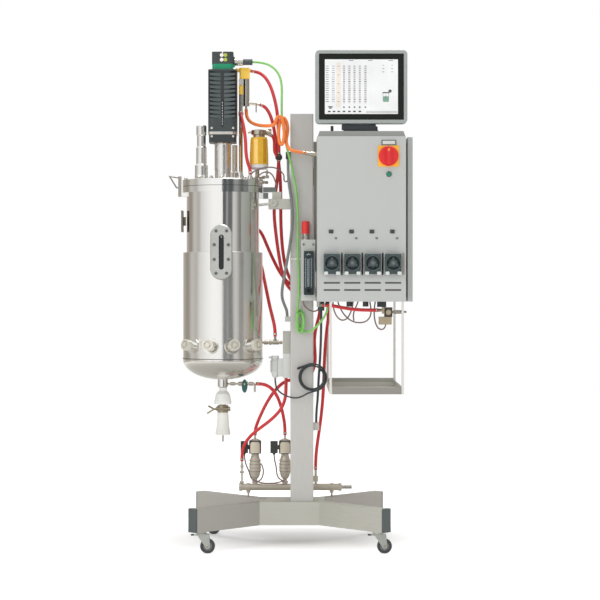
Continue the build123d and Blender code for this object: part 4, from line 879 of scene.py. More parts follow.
def bundle(centre: Point, core: float, minor: float, first: float, turns: float, per_turn: int = 18) -> np.ndarray:
    """Control points of turns that lie round a core ring, a quarter round the ring's own section each turn.

    The angle about Y grows evenly; the distance from the centre is the core plus minor times the cosine of
    a slower angle, and Y is minus minor times its sine.

    Args:
        centre: middle in millimetres.
        core: radius of the core ring.
        minor: distance of the line from it.
        first: starting angle in degrees.
        turns: number of turns.
        per_turn: points in a turn.

    Returns:
        Points in metres.
    """
    count = int(turns * per_turn) + 1
    sweep = np.linspace(0, turns, count)
    angle = np.radians(first) + 2 * np.pi * sweep
    slow = np.pi / 2 * sweep
    reach = core + minor * np.cos(slow)
    return np.column_stack([centre[0] + reach * np.cos(angle), centre[1] - minor * np.sin(slow),
                            centre[2] + reach * np.sin(angle)]) / 1000


GREEN_IN = (
    (-.129, -.03, 1.68), (-.099, -.03, 1.68), (-.061, -.036, 1.666), (-.036, -.046, 1.637), (-.026, -.058, 1.598),
    (-.027, -.068, 1.545), (-.027, -.076, 1.485), (-.02, -.083, 1.43), (-.008, -.089, 1.372), (.008, -.092, 1.31),
    (.021, -.093, 1.246), (.027, -.092, 1.18), (.03, -.088, 1.105), (.028, -.086, 1.02), (.032, -.086, .94),
    (.032, -.089, .885), (.03, -.095, .848), (.0268, -.101, .82))
GREEN_OUT = (
    (.045, -.0835, .7425), (.056, -.087, .7415), (.068, -.095, .742), (.082, -.103, .75), (.101, -.113, .768),
    (.119, -.119, .792), (.131, -.12, .816), (.131, -.12, .837))
ORANGE_IN = (
    (-.152, .02, 1.521), (-.152, .02, 1.498), (-.14, -.003, 1.476), (-.121, -.034, 1.463), (-.102, -.066, 1.456),
    (-.084, -.096, 1.452), (-.067, -.114, 1.451), (-.052, -.119, 1.453))
ORANGE_OUT = (
    (-.0128, -.0975, 1.4), (-.0085, -.1, 1.384), (-.001, -.104, 1.372), (.013, -.111, 1.365), (.034, -.115, 1.3605),
    (.057, -.115, 1.3566))
COIL_LEAD = (
    (-.05, -.03, .581), (-.05, -.03, .561), (-.042, -.05, .537), (-.014, -.08, .52), (.018, -.092, .512),
    (.044, -.092, .518), (.062, -.092, .5305))
SINGLE_ROUTES = {
    "grey": (
        (-.005, -.062, 1.34), (-.005, -.062, 1.317), (-.004, -.069, 1.285), (-.002, -.076, 1.252), (.004, -.082, 1.216),
        (.009, -.086, 1.175), (.01, -.087, 1.12), (.005, -.087, 1.065), (-.005, -.085, 1.005), (-.016, -.078, .945),
        (-.025, -.068, .895), (-.027, -.055, .862), (-.018, -.044, .834), (-.008, -.04, .813), (-.008, -.04, .794)),
    "black_down": (
        (.11, -.06, .815), (.11, -.06, .78), (.109, -.058, .715), (.106, -.054, .645), (.101, -.048, .575),
        (.098, -.041, .505), (.093, -.034, .455), (.093, -.034, .425)),
    "red_1": (
        (-.1345, .02, 1.655), (-.1105, .02, 1.652), (-.086, .008, 1.634), (-.067, -.004, 1.602), (-.052, -.014, 1.555),
        (-.042, -.02, 1.503), (-.038, -.018, 1.432), (-.037, -.002, 1.378), (-.038, .012, 1.326), (-.043, .022, 1.272),
        (-.051, .028, 1.216), (-.055, .031, 1.16), (-.05, .033, 1.1), (-.04, .035, 1.023), (-.028, .038, .952),
        (-.012, .042, .905), (.016, .046, .876), (.052, .046, .868), (.083, .046, .868)),
    "red_2": (
        (-.104, .02, 1.537), (-.088, .02, 1.5321), (-.071, .017, 1.509), (-.059, .013, 1.475), (-.05, .014, 1.428),
        (-.044, .024, 1.375), (-.036, .036, 1.322), (-.031, .045, 1.252), (-.031, .049, 1.175), (-.03, .051, 1.1),
        (-.024, .055, 1.02), (-.012, .06, .955), (.012, .064, .905), (.05, .064, .88), (.083, .064, .88)),
    "red_3": (
        (-.171, .004, 1.504), (-.171, -.014, 1.504), (-.166, -.034, 1.482), (-.158, -.05, 1.448), (-.152, -.063, 1.404),
        (-.151, -.07, 1.36), (-.145, -.069, 1.326), (-.136, -.064, 1.305), (-.136, -.064, 1.286)),
    "red_4": (
        (-.072, -.012, 1.429), (-.057, -.0015, 1.4268), (-.052, -.004, 1.403), (-.053, -.009, 1.38),
        (-.05, -.008, 1.362), (-.0413, .0012, 1.352)),
    "red_5": (
        (-.1273, .0747, 1.104), (-.1146, .0874, 1.104), (-.098, .096, 1.088), (-.079, .093, 1.042), (-.056, .089, .99),
        (-.032, .086, .944), (-.004, .083, .91), (.034, .082, .892), (.06, .082, .892), (.083, .082, .8925)),
    "red_6": (
        (-.1245, .0775, .985), (-.1047, .0973, .985), (-.096, .088, .958), (-.089, .062, .922), (-.08, .032, .88),
        (-.07, .004, .832), (-.059, -.018, .79), (-.05, -.03, .752), (-.05, -.03, .724)),
    "red_7": (
        (-.1175, -.03, .5594), (-.097, -.03, .5594), (-.075, -.018, .552), (-.054, .004, .533), (-.038, .032, .502),
        (-.026, .06, .462), (-.018, .084, .418), (-.016, .095, .391), (-.016, .095, .371)),
    "red_8": (
        (.108, .05, .839), (.108, .05, .806), (.095, .05, .762), (.087, .05, .715), (.09, .048, .668),
        (.091, .046, .628), (.078, .044, .59), (.048, .043, .573), (.014, .043, .572), (-.018, .045, .564),
        (-.05, .05, .535), (-.08, .06, .49), (-.102, .076, .444), (-.116, .09, .41), (-.122, .095, .389),
        (-.122, .095, .371)),
    "red_9": (
        (-.012, -.02, .581), (-.012, -.02, .548), (-.014, -.014, .508), (-.028, 0, .47), (-.058, .02, .436),
        (-.092, .042, .408), (-.124, .062, .384), (-.152, .082, .354), (-.165, .092, .324), (-.169, .095, .3),
        (-.169, .095, .278)),
    "red_10": (
        (.14, .104, .839), (.14, .104, .8), (.132, .108, .74), (.126, .111, .67), (.123, .112, .6),
        (.121, .111, .535), (.116, .108, .465), (.107, .103, .395), (.098, .098, .335), (.093, .095, .288),
        (.093, .095, .248)),
    "red_11": (
        (.112, -.15, .834), (.138, -.15, .834), (.178, -.15, .826), (.224, -.15, .819), (.268, -.15, .817),
        (.306, -.15, .817)),
}
UPPER_HOSES = ("red_1", "red_2", "red_3", "red_4")
LENGTHS = {
    "grey": .561, "black_down": .392, "red_1": .914, "red_2": .739, "red_3": .252, "red_4": .093, "red_5": .334,
    "red_6": .323, "red_7": .276, "red_8": .583, "red_9": .385, "red_10": .594, "red_11": .195}
CLIPPED = {
    "red_1": (0, -1), "red_2": (0, -1), "red_3": (0, -1), "red_4": (0,), "red_5": (0, -1), "red_6": (0, -1),
    "red_7": (0, -1), "red_8": (-1,), "red_9": (-1,), "red_10": (-1,), "red_11": (0, -1)}
THIN_LEADS = {
    "lead_valve_left": (
        (-.161, .116, .306), (-.16, .116, .284), (-.154, .112, .262), (-.145, .106, .244), (-.14, .1, .228),
        (-.134, .088, .214), (-.116, .08, .206), (-.1, .08, .214), (-.092, .082, .236), (-.094, .084, .258),
        (-.1, .088, .27)),
    "lead_valve_right": (
        (-.055, .116, .306), (-.054, .116, .284), (-.05, .11, .268), (-.047, .1, .256), (-.046, .09, .24),
        (-.042, .082, .224), (-.032, .078, .214), (-.018, .078, .208)),
    "lead_header": (
        (-.116, .08, .209), (-.104, .078, .204), (-.088, .078, .2015), (-.07, .078, .2015), (-.05, .078, .202),
        (-.032, .078, .206), (-.022, .078, .212)),
    "lead_meter": (
        (.047, -.09, .856), (.046, -.094, .846), (.05, -.098, .834), (.06, -.1, .822), (.074, -.098, .814),
        (.088, -.094, .812), (.1, -.088, .818), (.106, -.078, .828)),
    "lead_left_loop": (
        (.149, -.13, .845), (.15, -.13, .826), (.156, -.13, .806), (.166, -.13, .79), (.18, -.13, .781),
        (.196, -.13, .786), (.206, -.128, .8), (.214, -.124, .82), (.218, -.12, .838), (.218, -.118, .846)),
    "lead_middle_loop": (
        (.166, -.118, .846), (.172, -.118, .828), (.184, -.118, .806), (.2, -.118, .788), (.22, -.118, .776),
        (.242, -.118, .773), (.262, -.118, .777), (.276, -.118, .79), (.281, -.118, .81), (.279, -.118, .83),
        (.276, -.118, .846)),
    "lead_right_loop": (
        (.294, -.13, .846), (.291, -.13, .826), (.29, -.13, .8), (.294, -.13, .775), (.301, -.131, .758),
        (.312, -.133, .75), (.322, -.135, .752), (.328, -.138, .76), (.33, -.14, .769)),
    "lead_inner_loop": (
        (.236, -.11, .846), (.23, -.106, .83), (.222, -.104, .812), (.219, -.104, .794), (.222, -.104, .78)),
    "lead_lid_front": (
        (-.134, -.062, 1.288), (-.124, -.066, 1.297), (-.108, -.068, 1.304), (-.09, -.066, 1.309), (-.072, -.06, 1.312),
        (-.056, -.05, 1.312), (-.04, -.036, 1.308), (-.03, -.02, 1.3)),
    "lead_lid_rear": (
        (-.118, -.074, 1.272), (-.108, -.078, 1.28), (-.095, -.078, 1.291), (-.08, -.074, 1.296), (-.066, -.068, 1.292),
        (-.056, -.064, 1.28), (-.05, -.06, 1.265), (-.044, -.056, 1.246)),
    "lead_ring": (
        (-.03, -.02, 1.3), (-.022, -.03, 1.292), (-.0185, -.042, 1.28), (-.02, -.05, 1.268), (-.0135, -.056, 1.26),
        (-.0055, -.056, 1.266), (-.003, -.052, 1.277), (-.008, -.046, 1.287)),
}


@dataclass
class Hoses:
    """Every free hose, cable and thin lead, with the clips on them."""

    hose_radius: float = 0.0058
    grey_radius: float = 0.005
    cable_radius: float = 0.0038
    feed_radius: float = 0.0042
    lead_radius: float = 0.0028
    thin_radius: float = 0.0024
    thin_share: float = 0.985
    clip_offset: float = 0.008
    hank_middle: Point = (37, -92, 777)
    coil_middle: Point = (-28, -108, 1434)
    bundle_middle: Point = (79, -92, 584)
    tie_reach: float = 44.5
    tie_way: tuple[float, float] = (0.77, 0.64)

    def build(self) -> None:
        """Make the cords, each one after the cord that it leaves."""
        hank = loops(self.hank_middle, width=22.8, height=67.8, first=180, turns=2.97, start_y=-103, end_y=-83.5,
                     sway=0.2)
        green = np.concatenate([GREEN_IN, hank[1:], GREEN_OUT])
        self.run(Hose("green_signal_cable", green, self.cable_radius, 1.6, GREEN_CABLE, ("green_cable", "green_hank")))
        coil = loops(self.coil_middle, width=27, height=96, first=165, turns=-1.45, start_y=-119.5, end_y=-97.5,
                     sway=0.05, drift=20)
        orange = np.concatenate([ORANGE_IN, coil[1:], ORANGE_OUT])
        self.run(Hose("orange_water_hose", orange, self.hose_radius, .62, ORANGE_HOSE, ("orange_hose", "orange_coil"),
                      clips=(-1,)))
        turns = bundle(self.bundle_middle, core=44.8, minor=4.9, first=-100, turns=3.62)
        tail = turns[-1] + (turns[-1] - turns[-2]) * 0.5
        lead = np.concatenate([COIL_LEAD, turns[2:], [tail]])
        plug = self.end_plug(tail, turns[-1] - turns[-2])
        across, up = self.tie_way
        x, y, z = self.bundle_middle
        ring = self.ring_at(mm(x + self.tie_reach * across, y, z + self.tie_reach * up), (-up, 0, across), 8.4, 9.5, 4)
        tie = piece("coil_tie", [ring], BLACK)
        self.run(Hose("transmitter_cable", lead, self.lead_radius, 1.18, BLACK_CABLE, ("cable_leads", "black_coil"),
                      "plug", lay="coiled"))
        plain = {"grey": (self.grey_radius, GREY_HOSE), "black_down": (self.feed_radius, BLACK_CABLE)}
        for name, route in SINGLE_ROUTES.items():
            radius, finish = plain.get(name, (self.hose_radius, RED_HOSE))
            group = "cable_leads" if name in plain else (
                "red_hoses_upper" if name in UPPER_HOSES else "red_hoses_lower")
            self.run(Hose(f"{name}_hose", route, radius, LENGTHS[name], finish, (group,), clips=CLIPPED.get(name, ())))
        for name, route in THIN_LEADS.items():
            length = float(np.linalg.norm(np.diff(np.array(route), axis=0), axis=1).sum()) * self.thin_share
            self.run(Hose(name, route, self.thin_radius, length, THIN_LEAD, stiffness="limp"))

    def run(self, hose: Hose) -> None:
        """Build one cord and its end clips.

        Args:
            hose: the facts of the cord.
        """
        points = np.array(hose.route, float)
        line = rope(hose.name, points, 2 * hose.radius, hose.finish)
        clips = [self.clip(f"{hose.name}_clip_{number}", points, end, hose.radius)
                 for number, end in enumerate(hose.clips, start=1)]
        if hose.replaced:
            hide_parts(*hose.replaced)
        LOG.info("cord %s: %d points", hose.name, len(points))

    @staticmethod
    def ring_at(centre: Point, direction: Point, inner: float, outer: float, width: float) -> Grid:
        """Ring of a given width about a line; Returns its grid."""
        return spun(centre, direction, band(inner, outer, -width / 2, width / 2))

    def clip(self, name: str, points: np.ndarray, end: int, radius: float) -> bpy.types.Object:
        """Worm-drive clip near a hose end: a ring, and a screw barrel beside it.

        Args:
            name: piece name.
            points: the hose's route.
            end: 0 for the first end, -1 for the last.
            radius: hose radius in metres.

        Returns:
            The clip.
        """
        start, following = (points[0], points[1]) if end == 0 else (points[-1], points[-2])
        way = (following - start) / np.linalg.norm(following - start)
        centre = start + way * self.clip_offset
        outer = radius * 1000 + 0.9
        helper = np.array((0.0, -1.0, 0.0)) if abs(way[1]) < 0.8 else np.array((1.0, 0.0, 0.0))
        off = np.cross(way, helper)
        off = off / np.linalg.norm(off)
        barrel = centre + helper * (outer + 1.2) / 1000 - off * 0.004
        grids = [self.ring_at(centre, way, radius * 1000 - 0.2, outer, 6),
                 spun(barrel, off, [(0, 0), (2.2, 0), (2.4, 0.4), (2.4, 6), (1.4, 6.2), (1.4, 8), (0, 8)], 12)]
        return piece(name, grids, FITTING)

    @staticmethod
    def end_plug(start: np.ndarray, way: np.ndarray) -> bpy.types.Object:
        """Small round plug at the cable's end; Args are its place and way, and it Returns the piece."""
        profile = [(0, -3), (3, -3), (3.6, -1), (3.6, 8), (4.4, 9), (4.4, 15), (3.6, 16), (3.6, 20), (0, 20)]
        return piece("transmitter_plug", [spun(tuple(start), tuple(way), profile)], BLACK)


# ----------------------------------------------------------- the CAD's finishes


OPEN = 9000  # millimetres; a side without a limit


def zone(low: Point, high: Point, colour: Colour, metallic: float = 0.0, roughness: float = 0.45) -> Zone:
    """Zone from corners in millimetres; Args are its corners and finish, and it Returns the zone."""
    return Zone(mm(*low), mm(*high), colour, metallic, roughness)


def belt(low: float, high: float, colour: Colour, metallic: float = 0.0, roughness: float = 0.45) -> Zone:
    """Zone between two heights in millimetres; Args are the heights and the finish, and it Returns the zone."""
    return zone((-OPEN, -OPEN, low), (OPEN, OPEN, high), colour, metallic, roughness)


def disc(centre: Point, radius: float, colour: Colour, metallic: float = 0.0, roughness: float = 0.45,
         depth: tuple[float, float] = (-OPEN, OPEN)) -> Zone:
    """Round zone about a line that runs along Y.

    Args:
        centre: a point of the line in millimetres.
        radius: radius in millimetres.
        colour: colour inside.
        metallic: 1 for bare metal.
        roughness: gloss inside.
        depth: lowest and highest Y in millimetres.

    Returns:
        The zone.
    """
    low, high = (-OPEN, depth[0], -OPEN), (OPEN, depth[1], OPEN)
    return Zone(mm(*low), mm(*high), colour, metallic, roughness, mm(*centre), radius / 1000)


VESSEL_X = -232.0
CASTORS = {"fl": (-275.574, -250.789), "fr": (319.574, -250.789), "rl": (-275.574, 250.789), "rr": (319.574, 250.789)}
AXLE_HEIGHT = 25.0
PUMPS = (142.0, 210.5, 279.0, 347.5)
PUMP_HEIGHT = 976.0
DARK_ROTOR = srgb(66, 78, 80)
BRONZE = srgb(204, 196, 181)
TYRE = srgb(62, 64, 66)
TOWER_STEEL = Finish("tower_steel", Surface.POLISHED, srgb(236, 235, 231), 0.25, (1, 1, 0.12), slot="polished")


def wheel_finish(name: str, centre: Point) -> Finish:
    """Grey tyre round a paler hub; Args are the finish's name and the axle's middle in millimetres, Returns it."""
    return Finish(name, Surface.RUBBER, TYRE, 0.5, zones=(
        disc(centre, 15.5, srgb(120, 124, 124), 0.0, 0.4), disc(centre, 7.3, STEEL_TONE, 1.0, 0.3)))


def finishes() -> dict[str, Finish]:
    """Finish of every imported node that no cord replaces; Returns node names with their finishes."""
    table = {
        "base_frame": Finish("base_steel", Surface.SATIN, LEG_TONE, 0.42, (0.06, 0.06, 1), zones=(
            # Painted shade: the front left leg and both rear legs are coloured darker than the rest of the frame,
            # standing in for the shade on them.
            zone((-450, -300, 60), (-103.5, -1, 220), srgb(158, 156, 148)),
            zone((-450, 1, 60), (-80, 300, 220), srgb(170, 167, 159)),
            zone((124, 1, 60), (450, 300, 220), srgb(166, 162, 155))), slot="frame_steel"),
        "leg_caps": CAP, "shelf_frame": Finish(
            "shelf_steel", Surface.PAINTED, srgb(214, 210, 204), 0.36,
            zones=(zone((135, -269, 536), (383, 229, 558.2), srgb(206, 205, 196), 0.0, 0.4),
                   zone((143.2, -273, 536), (376, -268.2, 561), srgb(140, 138, 130), 0.0, 0.4))),
        "column": Finish("post_steel", Surface.SATIN, FRAME_TONE, 0.42, (1, 1, 0.06), zones=(
            zone((-20, -73, 1338), (2.9, -51, 1366), BLACK_TONE),)),
        "vessel_shell": MIRROR, "jacket": JACKET, "lid": MIRROR, "bearing_housing": TOWER_STEEL,
        "probe_towers": TOWER_STEEL,
        "lid_bolts": FITTING, "agitator": FITTING, "sight_frame": Finish(
            "sight_frame_steel", Surface.BRUSHED, srgb(212, 213, 208), 0.3, zones=tuple(
                disc((VESSEL_X + side * across, 0, 1015 + up), 5.2, srgb(120, 124, 122), 1.0, 0.3, depth=(-192, -170))
                for side in (-1, 1) for across, up in ((18, 72), (24, 25), (24, -25), (18, -72)))),
        "sight_glass": Finish("sight_glass_dark", Surface.MOULDED, srgb(18, 22, 26), 0.06),
        "port_plugs": Finish("port_cap_steel", Surface.SATIN, srgb(226, 222, 209), 0.26, slot="stainless"),
        "motor_body": Finish("cast_motor_paint", Surface.MOULDED, srgb(60, 68, 69), 0.4, zones=(
            zone((-OPEN, -OPEN, 1480), (OPEN, -70, 1645), srgb(40, 46, 47), 0.0, 0.42),
            belt(1424.4, 1434.1, srgb(216, 213, 206), 1.0, 0.2),
            belt(1390, 1424.4, srgb(48, 54, 55), 0.0, 0.42),
            zone((-OPEN, -84, 1440), (OPEN, -80.05, 1452), srgb(226, 222, 214), 1.0, 0.25),
            zone((-OPEN, -84, 1411), (OPEN, -77.05, 1424), srgb(226, 222, 214), 1.0, 0.25))),
        "motor_head": Finish("drive_head_plastic", Surface.MOULDED, srgb(58, 66, 67), 0.42, zones=(
            zone((-OPEN, -OPEN, 1649.9), (-195.5, OPEN, 1670.1), srgb(0, 152, 108), 0.0, 0.38),
            zone((-242, -69, 1676), (-228.6, -67.05, 1708), srgb(244, 236, 232)),
            zone((-228.4, -69, 1676), (-215, -67.05, 1708), srgb(176, 190, 66)),
            zone((-191, -OPEN, 1660), (-162, OPEN, 1700), srgb(206, 204, 196), 1.0, 0.25),
            zone((-162, -OPEN, 1660), (-120, OPEN, 1700), srgb(72, 80, 80), 0.0, 0.4))),
        "condenser": Finish("condenser_steel", Surface.POLISHED, srgb(214, 210, 202), 0.2, (1, 1, 0.2), zones=(
            # Painted reflection: a golden tint on the condenser pipe next to the amber bowl stands in for the bowl's
            # yellow mirrored in it.
            zone((-172, -OPEN, 1288), (-163, OPEN, 1455), srgb(206, 168, 112), 1.0, 0.2),)),
        # Painted light: the yellow cap glows though it is no lamp, lightening it where it falls in shade, and its
        # darker left and right strips are painted shade on its rounded sides.
        "condenser_caps": Finish("yellow_cap_plastic", Surface.MOULDED, srgb(255, 208, 84), 0.34, glow=0.2, zones=(
            zone((-190, -OPEN, 1640), (-171, OPEN, 1680), srgb(186, 150, 70)),
            zone((-138.5, -OPEN, 1640), (-120, OPEN, 1680), srgb(112, 92, 84)))),
        # Painted light: the amber bowl glows though it is no lamp, its pale left strip is a painted highlight and its
        # dark right strip is painted shade.
        "filter_bowl": Finish("amber_bowl", Surface.CLEAR, srgb(222, 180, 60), 0.14, clearness=0.3, glow=0.14, zones=(
            zone((-124, -OPEN, 1325), (-110, OPEN, 1410), srgb(250, 218, 136), 0.0, 0.14),
            zone((-91, -OPEN, 1325), (-80, OPEN, 1410), srgb(186, 136, 34), 0.0, 0.14))),
        "filter_fittings": Finish("filter_steel", Surface.POLISHED, srgb(196, 188, 172), 0.24, zones=(
            belt(1304, 1322.5, srgb(214, 214, 214), 0.0, 0.3),)),
        "vessel_bracket": FRAME_STEEL,
        "drain_valve": Finish("drain_valve_white", Surface.MOULDED, srgb(230, 230, 226), 0.34, zones=(
            belt(450, 488.5, srgb(176, 164, 146), 1.0, 0.28),
            belt(546, 552, srgb(208, 204, 196), 1.0, 0.22))),
        "drain_knob": Finish("drain_cone_white", Surface.MOULDED, srgb(229, 228, 220), 0.4, zones=(
            belt(350, 381.5, srgb(186, 186, 178), 1.0, 0.3),)),
        "sample_valve": FITTING,
        "sample_handle": Finish("dark_green_lever", Surface.MOULDED, srgb(38, 92, 86), 0.4),
        "jacket_inlet": Finish("brass_fitting", Surface.POLISHED, srgb(196, 190, 176), 0.24),
        "junction_box": Finish("junction_box_paint", Surface.PAINTED, srgb(178, 177, 168), 0.42, zones=(
            zone((-OPEN, -OPEN, 570), (-33, OPEN, 665), srgb(206, 208, 204), 0.0, 0.34),)),
        "steam_manifold": Finish("manifold_steel", Surface.SATIN, BRONZE, 0.34, (1, 1, 0.2), zones=(
            zone((-200, -OPEN, 304.5), (30, OPEN, 353.5), srgb(62, 68, 64), 0.0, 0.42),
            *(zone((-200, -OPEN, low - 1.2), (30, OPEN, low + 0.2), srgb(108, 100, 86), 1.0, 0.4)
              for low in (244, 256, 268, 280)),
            zone((186, -OPEN, 150), (230, OPEN, 230), srgb(208, 204, 198), 1.0, 0.24))),
        "cabinet_shell": Finish("cabinet_case_paint", Surface.PAINTED, PANEL_TONE, 0.38, zones=(
            # Painted shade: the roof on top of the cabinet is coloured darker, standing in for the shade under the
            # monitor.
            zone((94, -OPEN, 1402.2), (398, OPEN, 1425), srgb(140, 143, 138), 0.0, 0.42),
            zone((30, -OPEN, 1330), (92.8, OPEN, 1375), srgb(206, 200, 186), 1.0, 0.24),
            zone((83.05, -OPEN, 855), (92.9, OPEN, 905), srgb(190, 180, 160), 1.0, 0.28),
            # Painted shadow: the dark strip down the cabinet's right edge stands in for the shaded gap between the
            # front and the side duct.
            zone((392, -OPEN, 840), (398.9, OPEN, 1401), srgb(70, 74, 72)))),
        "cabinet_front": Finish("front_panel_paint", Surface.PAINTED, srgb(186, 188, 185), 0.36, zones=(
            zone((100, -276, 1070), (390, -272.05, 1094), srgb(60, 64, 64), 0.0, 0.35),
            zone((100, -276, 1052), (390, -272.05, 1066), srgb(92, 96, 94), 0.0, 0.4),
            disc((333.5, 0, 1274.5), 8.2, srgb(40, 90, 76), 0.0, 0.2, depth=(-280, -272.05)),
            zone((300, -276, 1370), (366, -272.6, 1392), srgb(112, 120, 120), 0.0, 0.36))),
        "pump_heads": Finish("pump_head_plastic", Surface.MOULDED, srgb(60, 74, 76), 0.4, zones=tuple(
            zone((x + side * 20 - 6.7, -298, 936), (x + side * 20 + 6.7, -294.05, 948), srgb(206, 212, 206), 0.0, 0.35)
            for x in PUMPS for side in (-1, 1))),
        "switch_plate": Finish("switch_plate_yellow", Surface.MOULDED, srgb(252, 184, 46), 0.36),
        "switch_knob": RED_PLASTIC,
        "monitor_housing": Finish("monitor_paint", Surface.PAINTED, srgb(158, 164, 161), 0.36),
        "monitor_glass": Finish("screen_border_glass", Surface.MOULDED, srgb(34, 37, 33), 0.12),
        "monitor_stand": Finish("monitor_foot", Surface.MOULDED, srgb(60, 64, 65), 0.4),
        "flow_meter": Finish("flow_meter_plate", Surface.PAINTED, srgb(204, 206, 200), 0.36, zones=(
            zone((49.4, -112, 868.9), (83.6, -96.1, 1020.1), srgb(42, 58, 60), 0.0, 0.3),
            zone((60.5, -108.4, 888), (70.5, -99.5, 1001.2), srgb(186, 200, 206), 0.0, 0.16),
            zone((44, -99, 1036), (86, -96.05, 1050), srgb(150, 152, 148), 1.0, 0.3),
            zone((40, -100, 1060.2), (90, -70.1, 1100), srgb(206, 202, 192), 1.0, 0.25))),
        "flow_knob": GLOSS_BLACK,
        "air_knob": Finish("air_cap_red", Surface.MOULDED, srgb(236, 56, 52), 0.36),
        "gas_block": Finish("gas_line_steel", Surface.POLISHED, srgb(200, 196, 186), 0.26, zones=(
            zone((299, -170, 827.9), (331, -130, 847), srgb(52, 58, 58), 0.0, 0.4),
            zone((323.5, -180, 793.5), (351.5, -130, 827.5), srgb(74, 66, 54), 0.0, 0.42),
            disc((337.5, 0, 810), 9.2, srgb(176, 160, 132), 0.0, 0.4, depth=(-175, -166.05)),
            zone((304.5, -165, 767.5), (349.5, -135, 793.9), srgb(172, 158, 130), 0.0, 0.42),
            zone((315, -162, 804), (326.5, -138, 827.9), srgb(190, 172, 140), 0.0, 0.4),
            zone((95, -135, 805), (142, -45, 847), srgb(46, 70, 66), 0.0, 0.42),
            zone((190, -125, 825), (280, -95, 847), srgb(76, 78, 76), 0.0, 0.42))),
    }
    for corner, (x, y) in CASTORS.items():
        table[f"castor_fork_{corner}"] = Finish("castor_zinc", Surface.BRUSHED, srgb(222, 228, 224), 0.34)
        table[f"castor_wheel_{corner}"] = wheel_finish(f"castor_tyre_{corner}", (x, y, AXLE_HEIGHT))
    for number, x in enumerate(PUMPS, start=1):
        hub = (x, 0, PUMP_HEIGHT)
        table[f"pump_rotor_{number}"] = Finish(
            f"pump_rotor_plastic_{number}", Surface.MOULDED, DARK_ROTOR, 0.55, zones=(
                disc(hub, 10.3, srgb(74, 84, 86), 0.0, 0.6), disc(hub, 4.2, srgb(104, 112, 112), 0.0, 0.55)))
    return table


def dress(frame: dict) -> None:
    """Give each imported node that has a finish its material, through its object's own material slots.
    """
    table = finishes()
    for name, node in frame["nodes"].items():
        if name not in table:
            LOG.info("node %s keeps its packed material", name)
            continue
        material = table[name].material()
        if not node.material_slots:
            node.data.materials.append(material)
        for place in node.material_slots:
            place.link = "OBJECT"
            place.material = material


# ---------------------------------------------------------------- detail pieces


def tile(x: float, z: float, back: float, front: float, width: float, height: float, corner: float = 0.3,
         edge: float = 0.1, sides: int = 3) -> Grid:
    """Flat rounded plate that faces the front.

    Args:
        x: middle in millimetres.
        z: middle height.
        back: Y of its back.
        front: Y of its front.
        width: size across.
        height: size up.
        corner: corner radius.
        edge: radius of the front edge.
        sides: points on each corner.

    Returns:
        Vertices and faces.
    """
    return slab(mm(x, back, z), width, height, corner, plate_profile(back - front, edge, min(width, height) / 2),
                sides=sides)


